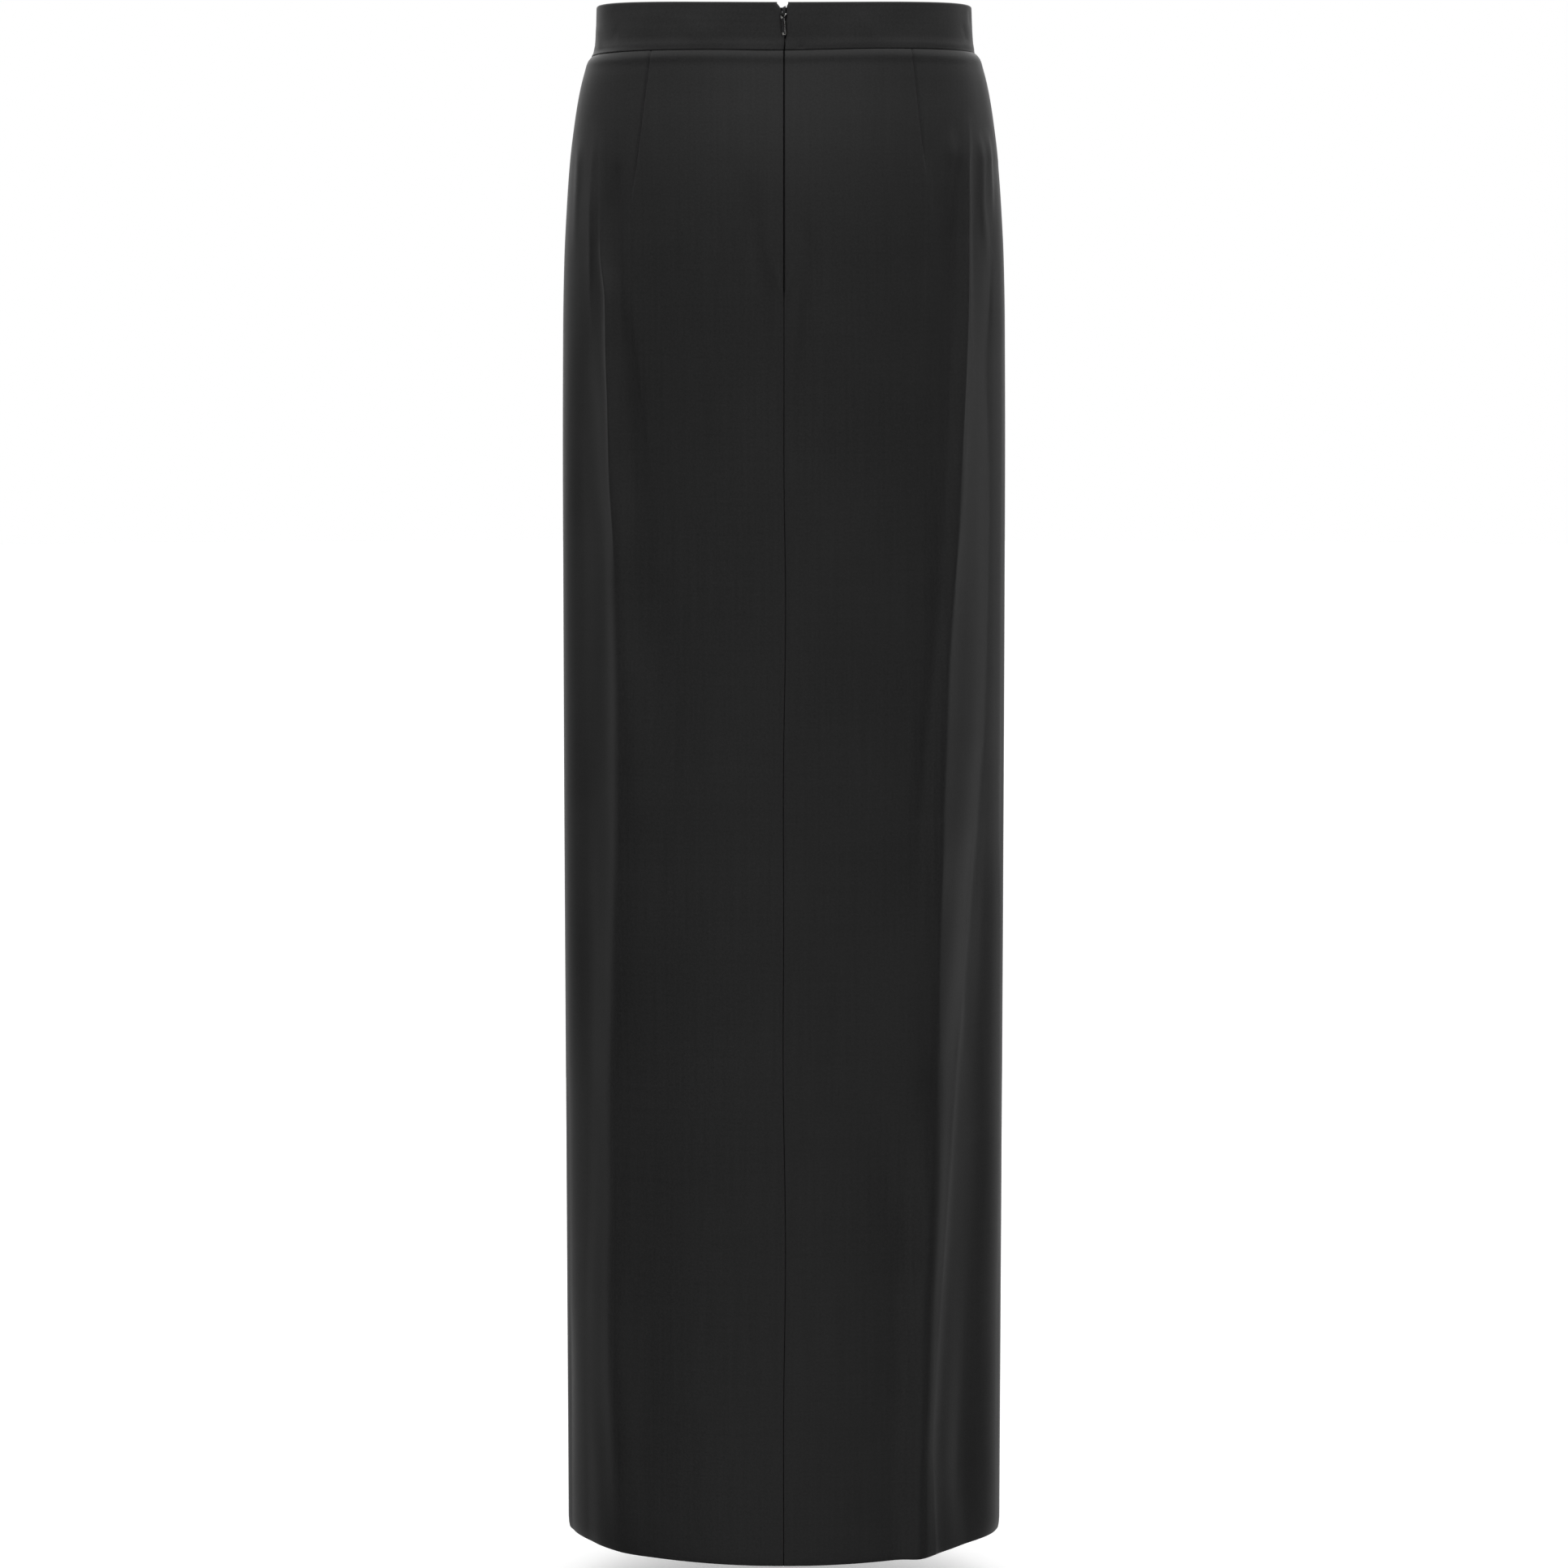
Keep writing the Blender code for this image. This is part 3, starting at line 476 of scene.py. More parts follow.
HEM_FOLD_LENGTH = 0.001
HEM_CURL, HEM_CURL_HEIGHT = 0.0010, 0.0090
HEM_SAG, HEM_SAG_HEIGHT = 0.0030, 0.150
CLOSE_STEP_DOWN, STEP_DOWN = 0.0016, 0.0042
WAIST_ROLL, WAIST_INSET = 0.0010, 0.00085
BULGE_DROP, BULGE_WIDTH, BULGE_HEIGHT = 0.0045, 0.0035, 0.0005


def spread(start, end, count):
    return list(np.linspace(start, end, count + 1)[1:-1])


def seam_edge_steps():
    """(distance from the seam, depth) across the allowance and the fold at an edge."""
    radius = SEAM_FOLD / 2
    steps = [(reach, SEAM_FOLD) for reach in ALLOWANCE]
    for degrees in FOLD_TURNS:
        turn = math.radians(degrees)
        groove = GROOVE_HALF_WIDTH if degrees < 90.0 else 0.0
        steps.append((radius * (1 - math.sin(turn)) + groove, radius * (1 - math.cos(turn))))
    steps += [(radius + GROOVE_HALF_WIDTH + reach, 0.0) for reach in EDGE_STEPS]
    return np.array(steps).T


def panel_levels():
    """Levels from the waist seam down to the hem's fold."""
    inside_band = [SEAM_Z + rise for rise in STEPS_IN_BAND]
    near = [SEAM_Z - drop for drop in STEPS_AT_SEAM]
    middle = [near[-1] - CLOSE_STEP_DOWN * i for i in range(1, 12)]
    lower = spread(middle[-1], HEM_Z + STEPS_AT_HEM[0], int((middle[-1] - HEM_Z) / STEP_DOWN))
    return inside_band + near + middle + lower + [HEM_Z + rise for rise in STEPS_AT_HEM + (HEM_DROP,)]


def hem_turns():
    """(level, turn in degrees) round the hem's fold and up inside the skirt."""
    turns = [(HEM_Z + HEM_DROP, degrees) for degrees in (40.0, 90.0, 140.0, 180.0)]
    inside = spread(0.0, HEM_TURN, 7) + [HEM_TURN]
    return turns + [(HEM_Z + HEM_DROP + rise, 180.0) for rise in inside]


def cloth_row(face, z, s, depth, near_seam, turn, extra):
    """One row of a panel: depth is each point's way in from the cloth's face."""
    ring = HalfRing(face, z)
    from_top = SEAM_Z - z
    angle = math.radians(turn)
    hem_depth = HEM_DEPTH + (HEM_DEPTH_AT_SEAM - HEM_DEPTH) * near_seam
    inward = hem_depth / 2 * (1 - math.cos(angle)) + depth * math.cos(angle)
    roll = min(max(1.0 - from_top / WAIST_ROLL, 0.0), 1.0)
    inward = inward + WAIST_INSET * (1.0 - math.sqrt(1.0 - roll ** 2))
    inward = inward - BULGE_HEIGHT * math.exp(-(((from_top - BULGE_DROP) / BULGE_WIDTH) ** 2))
    curl = max(1.0 - (z - HEM_Z) / HEM_CURL_HEIGHT, 0.0)
    inward = inward + HEM_CURL * curl ** 2
    x, y = ring.at(s, fold_height(ring, s) + extra - inward)
    level = z + seam_shift(face, x) * math.exp(-max(from_top, 0.0) / SEAM_SHIFT_FADE)
    level = level - HEM_DROP * math.sin(angle) * (1.0 - depth / SEAM_FOLD)
    sag = HEM_SAG * float(smooth_step(1.0 - (z - HEM_Z) / HEM_SAG_HEIGHT))
    level = level - sag * np.abs(s / ring.half_length) ** 4
    return np.stack((x, y, level), axis=1)


def cloth_piece(name, points, along, down):
    """A grid primitive whose points take the cloth's form, with its UV map in metres."""
    rows, columns = points.shape[:2]
    deselect_all()
    bpy.ops.mesh.primitive_grid_add(x_subdivisions=columns - 1, y_subdivisions=rows - 1, size=1.0)
    piece = bpy.context.object
    piece.name = name
    piece.data.name = name
    piece.data.vertices.foreach_set("co", points.reshape(-1))
    uv = np.stack((along, down), axis=2).reshape(-1, 2)
    corner = np.empty(len(piece.data.loops), dtype=np.int32)
    piece.data.loops.foreach_get("vertex_index", corner)
    piece.data.uv_layers[0].data.foreach_set("uv", uv[corner].reshape(-1))
    piece.data.update()
    return piece


def give_thickness(piece, thickness, outward_row):
    """Turns the faces outwards and gives the cloth its thickness inwards."""
    columns = len(piece.data.vertices) // outward_row[1]
    face = piece.data.polygons[outward_row[0] * (columns - 1) + columns // 2]
    if face.center.x * face.normal.x + face.center.y * face.normal.y < 0.0:
        choose(piece)
        bpy.ops.object.mode_set(mode="EDIT")
        bpy.ops.mesh.select_all(action="SELECT")
        bpy.ops.mesh.flip_normals()
        bpy.ops.object.mode_set(mode="OBJECT")
    wall = piece.modifiers.new("Cloth", "SOLIDIFY")
    wall.thickness = thickness
    wall.offset = -1.0
    bpy.ops.object.modifier_apply(modifier="Cloth")
    bpy.ops.object.shade_smooth()


def sew_panel(name, face, place_row):
    """place_row gives s, depth, near_seam and extra for the columns at one level."""
    rows, along, down = [], [], []
    levels = panel_levels()
    turned = hem_turns()
    for z, turn in [(z, 0.0) for z in levels] + turned:
        s, depth, near_seam, extra = place_row(max(z, HEM_Z))
        rows.append(cloth_row(face, z, s, depth, near_seam, turn, extra))
        along.append(s + np.sign(s) * depth * 2.0)
        down.append(np.full_like(s, z if turn == 0.0 else 2 * HEM_Z - z - HEM_FOLD_LENGTH * turn / 180.0))
    piece = cloth_piece(name, np.array(rows), np.array(along), np.array(down))
    give_thickness(piece, CLOTH, (len(levels) // 2, len(rows)))
    return piece


FRONT_COLUMNS = 118


def front_row(z):
    ring = HalfRing("front", z)
    reach, depth = seam_edge_steps()
    edge = ring.half_length
    inner = edge - reach[-1]
    across = np.linspace(-inner, inner, FRONT_COLUMNS + 2)[1:-1]
    s = np.concatenate((-(edge - reach), across, (edge - reach)[::-1]))
    depth = np.concatenate((depth, np.zeros(FRONT_COLUMNS), depth[::-1]))
    near_seam = smooth_step((SEAM_FLAT - (edge - np.abs(s))) / SEAM_FLAT_FADE)
    return s, depth, near_seam, np.zeros_like(s)


class Value:
    """A shader socket that adds Math nodes as Python expressions use it."""

    def __init__(self, finish, socket):
        self.finish = finish
        self.socket = socket

    def math(self, operation, *values):
        return self.finish.node("ShaderNodeMath", {"operation": operation}, values)

    def __add__(self, other):
        return self.math("ADD", self, other)

    def __sub__(self, other):
        return self.math("SUBTRACT", self, other)

    def __rsub__(self, other):
        return self.math("SUBTRACT", other, self)

    def __mul__(self, other):
        return self.math("MULTIPLY", self, other)

    __radd__ = __add__
    __rmul__ = __mul__


class Finish:
    """A material being written: its node tree and its Principled shader."""

    def __init__(self, name, specular=0.5):
        self.material = bpy.data.materials.new(name)
        self.material.use_nodes = True
        self.nodes = self.material.node_tree.nodes
        self.shader = self.nodes["Principled BSDF"]
        self.shader.inputs["Specular IOR Level"].default_value = specular

    def plug(self, slot, value):
        if isinstance(value, Value):
            self.material.node_tree.links.new(value.socket, slot)
        else:
            slot.default_value = value

    def node(self, kind, settings, inputs, output=0):
        """A node with its settings, then its sockets by place or by name."""
        node = self.nodes.new(kind)
        for key, value in settings.items():
            setattr(node, key, value)
        named = inputs.items() if isinstance(inputs, dict) else enumerate(inputs)
        for key, value in named:
            self.plug(node.inputs[key], value)
        return Value(self, node.outputs[output])

    def axis(self, place, index):
        return self.node("ShaderNodeSeparateXYZ", {}, {"Vector": place}, index)

    def noise(self, place, scale, detail):
        inputs = {"Vector": place, "Scale": scale, "Detail": detail}
        return self.node("ShaderNodeTexNoise", {}, inputs)

    def stretched(self, place, scale):
        return self.node("ShaderNodeMapping", {}, {"Vector": place, "Scale": scale})

    def wave(self, place, scale, direction):
        settings = {"wave_type": "BANDS", "bands_direction": direction}
        return self.node("ShaderNodeTexWave", settings, {"Vector": place, "Scale": scale})

    def mix(self, share, dark, light):
        settings = {"data_type": "RGBA", "clamp_factor": True}
        return self.node("ShaderNodeMix", settings, {0: share, 6: (*dark, 1.0), 7: (*light, 1.0)}, 2)

    def ramp(self, value, start, end):
        """0 up to start, 1 from end on."""
        inputs = {"Value": value, "From Min": start, "From Max": end}
        return self.node("ShaderNodeMapRange", {"clamp": True}, inputs)

    def bump(self, height, strength, distance):
        inputs = {"Strength": strength, "Distance": distance, "Height": height}
        return self.node("ShaderNodeBump", {}, inputs)

    def surface(self, color, roughness, normal):
        self.plug(self.shader.inputs["Base Color"], color)
        self.plug(self.shader.inputs["Roughness"], roughness)
        self.plug(self.shader.inputs["Normal"], normal)
        return self.material


def crepe_finish(name, tone):
    """Black crepe: fine pebbled threads, faint slubs down the warp, matt."""
    made = Finish(name, specular=0.50)
    place = made.node("ShaderNodeUVMap", {}, {})
    pebble = made.noise(place, 2300.0, 2.0)
    slub = made.noise(made.stretched(place, (420.0, 9.0, 1.0)), 1.0, 2.0)
    weft = made.noise(made.stretched(place, (14.0, 520.0, 1.0)), 1.0, 1.0)
    crimp = made.noise(place, 620.0, 2.0)
    cloud = made.noise(place, 11.0, 3.0)
    shade = pebble + crimp + 0.4 * slub + 0.2 * weft + 0.3 * cloud - 0.95
    dark, light = (tone * 0.45, tone * 0.45, tone * 0.46), (tone * 1.55, tone * 1.54, tone * 1.56)
    color = made.mix(shade, dark, light)
    relief = pebble + 0.3 * slub + 0.2 * weft + 1.2 * crimp
    return made.surface(color, 0.39 + 0.08 * pebble + 0.05 * cloud, made.bump(relief, 0.40, 0.00008))


crepe = crepe_finish("black_crepe", 0.0108)


def dress_in_crepe(piece, node, finish):
    piece.data.materials.clear()
    piece.data.materials.append(finish)
    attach(piece, CREPE_BODY)
    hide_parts(node)


front_crepe = sew_panel("front_panel_crepe", "front", front_row)
dress_in_crepe(front_crepe, "front_panel", crepe)


# ---------------------------------------------------------------- back panels
# Two panels of the same crepe with a dart each.  They meet along the concealed
# zip and, below it, in the centre-back seam, whose turnings are pressed open.

ZIP_END_Z = -0.1894
ZIP_END_LENGTH = 0.006
ZIP_HALF_GAP = 0.00030
DARTS = {
    # side: s at the seam, s at the end, z of the end
    "left": (-0.0957, -0.1132, -0.1247),
    "right": (0.0917, 0.1045, -0.1077),
}
DART_DEPTH = 0.0008
DART_WIDTH = 0.0007
DART_FADE = 0.030
SEAM_TIGHTNESS = 0.55
WANDER_TOP_Z, WANDER_FADE = -0.25, 0.15
WANDERS = ((0.0007, 13.0, 0.6), (0.0004, 27.0, 0.0))  # size, pace, start
DART_STEPS = (-0.0042, -0.0026, -0.0015, -0.0008, -0.0004, 0.0, 0.0004, 0.0008, 0.0015, 0.0026, 0.0042)
FOLD_STEPS = (-0.0075, -0.0052, -0.0034, -0.0020, -0.0009, 0.0, 0.0009, 0.0020, 0.0034, 0.0052, 0.0075)
INNER_COLUMNS, MIDDLE_COLUMNS, OUTER_COLUMNS = 36, 14, 50
INNER_BUNCHING = 1.25

# Close columns of the cloth's mesh follow two lines down each panel, in
# millimetres: the dart with the crease below it, and the sharpest fold.
CLOSE_LINES = {
    "left": (
        ((-17, 95.7), (-89, 107.1), (-125, 113.3), (-150, 115.1), (-189, 114.3), (-224, 112.0),
         (-249, 108.4), (-275, 104.3), (-315, 99.0), (-417, 92.6), (-1130, 95.6)),
        ((-15, 138.2), (-85, 140.3), (-128, 139.6), (-157, 138), (-191, 132.9), (-226, 131.9),
         (-267, 130.2), (-336, 129.0), (-418, 127.5), (-530, 125.0), (-649, 130.2), (-771, 137.4),
         (-893, 139.9), (-1130, 141.5)),
    ),
    "right": (
        ((-17, 91.7), (-62, 97.4), (-89, 101.8), (-108, 104.5), (-209, 106.8), (-620, 100.0), (-1130, 90.0)),
        ((-15, 142.8), (-79, 142.8), (-128, 142.5), (-157, 142.2), (-191, 140.8), (-238, 138.6),
         (-284, 135.0), (-337, 131.1), (-395, 126.4), (-453, 121.0), (-571, 116.2), (-690, 115.6),
         (-810, 125.0), (-874, 125.2), (-934, 119.6), (-1031, 112.7), (-1075, 115.0), (-1130, 118.5)),
    ),
}
LINE_TABLES = {
    side: [np.array(line, dtype=float)[::-1] / 1000.0 for line in lines]
    for side, lines in CLOSE_LINES.items()
}


def seam_wander(z):
    """The centre-back seam isn't dead straight: it strays about 1 mm."""
    down = smooth_step((WANDER_TOP_Z - z) / WANDER_FADE)
    return down * sum(size * math.sin(pace * z + start) for size, pace, start in WANDERS)


def dart_line(side, z):
    top_s, end_s, end_z = DARTS[side]
    t = (SEAM_Z - z) / (SEAM_Z - end_z)
    return top_s + (end_s - top_s) * t


def back_row(side):
    sign = 1.0 if side == "right" else -1.0
    edge_reach, depth_at = seam_edge_steps()
    bunched = np.linspace(0.0, 1.0, INNER_COLUMNS + 2)[1:-1] ** INNER_BUNCHING

    def place_row(z):
        ring = HalfRing("back", z)
        along_zip = float(smooth_step((z - ZIP_END_Z) / ZIP_END_LENGTH))
        centre = sign * seam_wander(z) + along_zip * ZIP_HALF_GAP
        tight = along_zip + (1.0 - along_zip) * SEAM_TIGHTNESS
        reach = np.where(edge_reach < SEAM_FOLD, edge_reach * tight, edge_reach)
        outer = ring.half_length
        first, second = (float(row_at(line, z)[0]) for line in LINE_TABLES[side])
        around_first = first + np.array(DART_STEPS)
        around_second = second + np.array(FOLD_STEPS)
        start, end = centre + reach[-1], around_first[0]
        inner = start + (end - start) * bunched
        middle = spread(around_first[-1], around_second[0], MIDDLE_COLUMNS + 1)
        outer_part = spread(around_second[-1], outer - edge_reach[-1], OUTER_COLUMNS + 1)
        s = np.concatenate((
            centre + reach, inner, around_first, middle, around_second, outer_part,
            (outer - edge_reach)[::-1],
        ))
        depth = np.concatenate((depth_at, np.zeros(len(s) - 2 * len(depth_at)), depth_at[::-1]))
        near_seam = smooth_step((SEAM_FLAT - np.minimum(s - centre, outer - s)) / SEAM_FLAT_FADE)
        dart = sign * dart_line(side, z)
        dart_fade = float(smooth_step((z - DARTS[side][2]) / DART_FADE))
        dent = -DART_DEPTH * dart_fade * np.exp(-(((s - dart) / DART_WIDTH) ** 2))
        return sign * s, depth, near_seam, dent

    return place_row


for side in ("left", "right"):
    back_crepe = sew_panel("back_panel_" + side + "_crepe", "back", back_row(side))
    dress_in_crepe(back_crepe, "back_panel_" + side, crepe)


# ---------------------------------------------------------------- waistband
# A straight strip of the crepe, interfaced and folded along its top edge, with
# its turnings inside.  Its two ends meet over the zip: the left end is rounded
# off at the top, where the slider's lug and pull come through.

BAND_TOP_Z = 0.0168
BAND_TOP_RISE = 0.0022
BAND_HALF_WIDTH = 0.136
BAND_DEPTH = 0.0020
BAND_CLOTH = 0.0005
BAND_FRONT_COLUMNS = 130
BAND_BACK_COLUMNS = 74
BAND_SHARES = (
    0.0, 0.003, 0.009, 0.018, 0.035, 0.07, 0.11, 0.16, 0.23, 0.31, 0.39, 0.47, 0.55, 0.63, 0.70, 0.77, 0.82,
    0.86, 0.89, 0.915, 0.94, 0.96, 0.98,
)
BAND_TURNS = (0.0, 25.0, 50.0, 75.0, 90.0, 105.0, 130.0, 155.0, 180.0)
BAND_INNER_SHARES = (0.86, 0.72, 0.58, 0.44, 0.30, 0.18, 0.08, 0.02)
END_STEPS = (0.0, 0.00008, 0.0003, 0.0007, 0.0012, 0.0020, 0.0030, 0.0040)
END_REACH, END_BUNCHING = 0.0052, 1.1
END_ROLL_WIDTH, END_ROLL_DEPTH = 0.0036, 0.0010
FOOT_SHARE, FOOT_ROLL = 0.032, 0.0007
SWELL_SHARE, SWELL_WIDTH, SWELL_HEIGHT = 0.12, 0.07, 0.0003
SLOT = np.array((
    # below the top edge, left half width, right half width
    (-0.0010, 0.0074, 0.0032),
    (0.0000, 0.0064, 0.0031),
    (0.0009, 0.0050, 0.0029),
    (0.0018, 0.0042, 0.0026),
    (0.0026, 0.0035, 0.0020),
    (0.0040, 0.0025, 0.0018),
    (0.0055, 0.0020, 0.0017),
    (0.0078, 0.0018, 0.0017),
    (0.0100, 0.0013, 0.0014),
    (0.0130, 0.0009, 0.0011),
    (0.0215, 0.0004, 0.0013),
    (0.0240, -0.0004, 0.0014),
    (0.0300, -0.0002, 0.0009),
    (0.0340, 0.0003, 0.0004),
    (0.0500, 0.0002, 0.0003),
))
BAND_CREASES = (
    # x at the top, z of the top, x at the bottom, z of the bottom, width, height
    (-0.1194, 0.0020, -0.1205, -0.0085, 0.0009, -0.0004),
    (-0.1345, 0.0060, -0.1310, -0.0150, 0.0022, 0.0006),
    (0.1270, 0.0060, 0.1310, -0.0085, 0.0011, -0.0005),
    (0.1330, 0.0170, 0.1335, 0.0030, 0.0010, -0.0005),
    (0.0112, -0.0120, 0.0122, -0.0170, 0.0009, -0.0005),
    (0.0520, 0.0120, 0.0640, -0.0100, 0.0070, 0.0002),
    (-0.0700, 0.0100, -0.0580, -0.0120, 0.0080, 0.0002),
)
CREASE_FADE = 0.3
BAND_WAVES = ((0.00012, 61.0, 90.0, 0.0), (0.00010, 117.0, -130.0, 1.0))  # size, along x, along z, start


def band_relief(face, x, z):
    """Creases, and the slow unevenness of a worn band."""
    height = sum(size * np.sin(in_x * x + in_z * z + start) for size, in_x, in_z, start in BAND_WAVES)
    if face == "back":
        for top_x, top_z, bottom_x, bottom_z, width, rise in BAND_CREASES:
            t = (top_z - z) / (top_z - bottom_z)
            line = top_x + (bottom_x - top_x) * t
            fade = float(smooth_step(t / CREASE_FADE) * smooth_step((1 - t) / CREASE_FADE))
            height = height + rise * fade * np.exp(-(((x - line) / width) ** 2))
    return height


def band_columns():
    """(face, sign, steps from the end, share) from centre back round to centre back."""
    right = [("back", 1.0, e, 0.0) for e in END_STEPS]
    right += [("back", 1.0, END_REACH, t) for t in np.linspace(0.0, 1.0, BAND_BACK_COLUMNS) ** END_BUNCHING]
    front = [("front", -1.0, 0.0, t) for t in np.linspace(-1.0, 1.0, BAND_FRONT_COLUMNS)[1:-1]]
    left = [("back", -1.0, e, t) for _, _, e, t in right[::-1]]
    return right + front + left


def band_point_row(share, turn):
    """One row round the waist: up the outer side, over the fold, down inside."""
    row = []
    rings = {}
    for face, sign, end, t in band_columns():
        # Twice, because the level depends on x and x on the level.
        z = 0.0
        for _ in range(2):
            key = (face, round(z, 4))
            if key not in rings:
                rings[key] = HalfRing(face, z)
            ring = rings[key]
            if face == "back":
                slot = float(np.interp(BAND_TOP_Z - z, SLOT[:, 0], SLOT[:, 1 if sign < 0 else 2]))
                s = sign * (slot + end + (ring.half_length - slot - end) * t)
            else:
                s = sign * ring.half_length * t
            x = float(np.interp(s, ring.s, ring.x))
            bottom = SEAM_Z + float(seam_shift(face, x))
            top = BAND_TOP_Z + BAND_TOP_RISE * (x / BAND_HALF_WIDTH) ** 2 - BAND_DEPTH / 2
            z = bottom + (top - bottom) * share
        angle = math.radians(turn)
        depth = BAND_DEPTH / 2 * (1 - math.cos(angle))
        z += BAND_DEPTH / 2 * math.sin(angle)
        outer = 1.0 if turn < 90.0 else -1.0
        closing = 0.0
        if face == "back" and t == 0.0:
            near = max(0.0, 1.0 - end / END_ROLL_WIDTH)
            closing = END_ROLL_DEPTH * (1 - math.sqrt(1 - near ** 2)) * abs(math.cos(angle))
        roll, swell = 0.0, 0.0
        if turn == 0.0:
            roll = max(0.0, 1.0 - share / FOOT_SHARE)
            swell = SWELL_HEIGHT * math.exp(-(((share - SWELL_SHARE) / SWELL_WIDTH) ** 2))
        rolled = FOOT_ROLL * (1 - math.sqrt(1 - roll ** 2))
        relief = float(band_relief(face, x, z)) * (1.0 if turn < 180.0 else 0.5)
        x, y = ring.at(s, relief + swell - depth - outer * (closing + rolled))
        row.append((float(x), float(y), z))
    return row


def sew_waistband():
    levels = [(share, 0.0) for share in BAND_SHARES] + [(1.0, turn) for turn in BAND_TURNS]
    levels += [(share, 180.0) for share in BAND_INNER_SHARES]
    points = np.array([band_point_row(share, turn) for share, turn in levels])
    step = np.linalg.norm(np.diff(points, axis=1), axis=2)
    along = np.concatenate((np.zeros((len(levels), 1)), np.cumsum(step, axis=1)), axis=1)
    rise = np.linalg.norm(np.diff(points, axis=0), axis=2)
    down = np.concatenate((np.zeros((1, points.shape[1])), np.cumsum(rise, axis=0)), axis=0)
    piece = cloth_piece("waistband_crepe", points, down, along)
    give_thickness(piece, BAND_CLOTH, (4, len(levels)))
    return piece


# The band's crepe is the panels' crepe painted lighter (tone 0.0132 against 0.0108): painted light for the
# light the band catches.
band_crepe_painted_lighter = crepe_finish("black_crepe_band", 0.0132)
waistband = sew_waistband()
dress_in_crepe(waistband, "waistband", band_crepe_painted_lighter)


# ---------------------------------------------------------------- zip tapes
# The concealed zip's two tapes, woven in black polyester, lie flat behind the
# seam's turnings and the band.  They part round the slider's lug at the top.

TAPE_WIDTH = 0.0125
TAPE_TOP_Z = 0.0130
TAPE_END_Z = -0.2054
TAPE_THICKNESS = 0.0004
TAPE_DEPTH_BEHIND_PANEL = 0.00145
TAPE_DEPTH_BEHIND_BAND = 0.00235
TAPE_EDGE = 0.00003
TAPE_EDGE_AT_SLIDER = 0.0010
TAPE_BEND = 0.006
TAPE_PARTS_Z, TAPE_PARTS_LENGTH = 0.0005, 0.0035
TAPE_RIPPLE, TAPE_RIPPLES = 0.00006, 900.0
TAPE_COLUMNS = 14
TAPE_ROWS = 110


def tape_depth(z):
    share = float(smooth_step((z - SEAM_Z + TAPE_BEND) / TAPE_BEND))
    return TAPE_DEPTH_BEHIND_PANEL + share * (TAPE_DEPTH_BEHIND_BAND - TAPE_DEPTH_BEHIND_PANEL)


def tape_edge(z):
    share = float(smooth_step((z - TAPE_PARTS_Z) / TAPE_PARTS_LENGTH))
    return TAPE_EDGE + share * (TAPE_EDGE_AT_SLIDER - TAPE_EDGE)


def tape_finish():
    """Black polyester tape: a herringbone of fine cords."""
    made = Finish("black_zip_tape", specular=0.3)
    place = made.node("ShaderNodeUVMap", {}, {})
    cords = made.wave(place, 620.0, "X")
    picks = made.wave(place, 900.0, "DIAGONAL")
    fuzz = made.noise(place, 3000.0, 2.0)
    weave = 0.5 * cords + 0.3 * picks + 0.4 * fuzz
    color = made.mix(weave, (0.006, 0.006, 0.0065), (0.016, 0.016, 0.017))
    return made.surface(color, 0.70 + 0.2 * fuzz, made.bump(weave, 0.5, 0.00008))


zip_tape = tape_finish()
for side, sign in (("left", -1.0), ("right", 1.0)):
    rows, along, down = [], [], []
    for z in np.linspace(TAPE_TOP_Z, TAPE_END_Z, TAPE_ROWS):
        ring = HalfRing("back", z)
        across = np.linspace(0.0, 1.0, TAPE_COLUMNS)
        s = sign * (tape_edge(z) + (TAPE_WIDTH - tape_edge(z)) * across)
        ripple = TAPE_RIPPLE * np.sin(z * TAPE_RIPPLES) * across ** 2
        x, y = ring.at(s, fold_height(ring, s) - tape_depth(z) - ripple)
        rows.append(np.stack((x, y, np.full_like(x, z)), axis=1))
        along.append(s)
        down.append(np.full_like(s, z))
    tape = cloth_piece("zip_tape_" + side + "_woven", np.array(rows), np.array(along), np.array(down))
    give_thickness(tape, TAPE_THICKNESS, (TAPE_ROWS // 2, TAPE_ROWS))
    tape.data.materials.clear()
    tape.data.materials.append(zip_tape)
    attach(tape, CREPE_BODY)
    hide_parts("zip_tape_" + side)


# ---------------------------------------------------------------- zip coil
# A nylon coil is sewn along each tape's edge, on the wearer's side.  The two
# coils mesh turn by turn, from the slider down to the end of the opening.

TURN_PITCH = 0.0012
TURN_SIZE = (0.0026, 0.0009, 0.00072)
TURN_BEVEL, TURN_OFFSET = 0.00022, 0.0006
COIL_TOP_Z = 0.0040
COIL_END_Z = ZIP_END_Z - 0.0050

deselect_all()
bpy.ops.mesh.primitive_cube_add(size=1.0)
turn = bpy.context.object
turn.scale = TURN_SIZE
bpy.ops.object.transform_apply(location=False, rotation=False, scale=True)
bpy.ops.object.mode_set(mode="EDIT")
bpy.ops.mesh.select_all(action="SELECT")
bpy.ops.mesh.bevel(offset=TURN_BEVEL, segments=1, affect="EDGES")
bpy.ops.object.mode_set(mode="OBJECT")
coil_turns = [turn]
count = int((COIL_TOP_Z - COIL_END_Z) / TURN_PITCH)
for index in range(1, 2 * count):
    copy = turn.copy()
    copy.data = turn.data.copy()
    bpy.context.scene.collection.objects.link(copy)
    coil_turns.append(copy)
for index, piece in enumerate(coil_turns):
    z = COIL_TOP_Z - (index + 0.5) * TURN_PITCH / 2
    depth = tape_depth(z) + TAPE_THICKNESS + TURN_SIZE[1] / 2
    ring_y = HalfRing("back", z).at(np.array([0.0]), np.array([-depth]))[1]
    piece.location = ((-TURN_OFFSET, TURN_OFFSET)[index % 2], float(ring_y[0]), z)
deselect_all()
for piece in coil_turns:
    piece.select_set(True)
bpy.context.view_layer.objects.active = turn
bpy.ops.object.join()
zip_coil = finish_object("zip_coil")
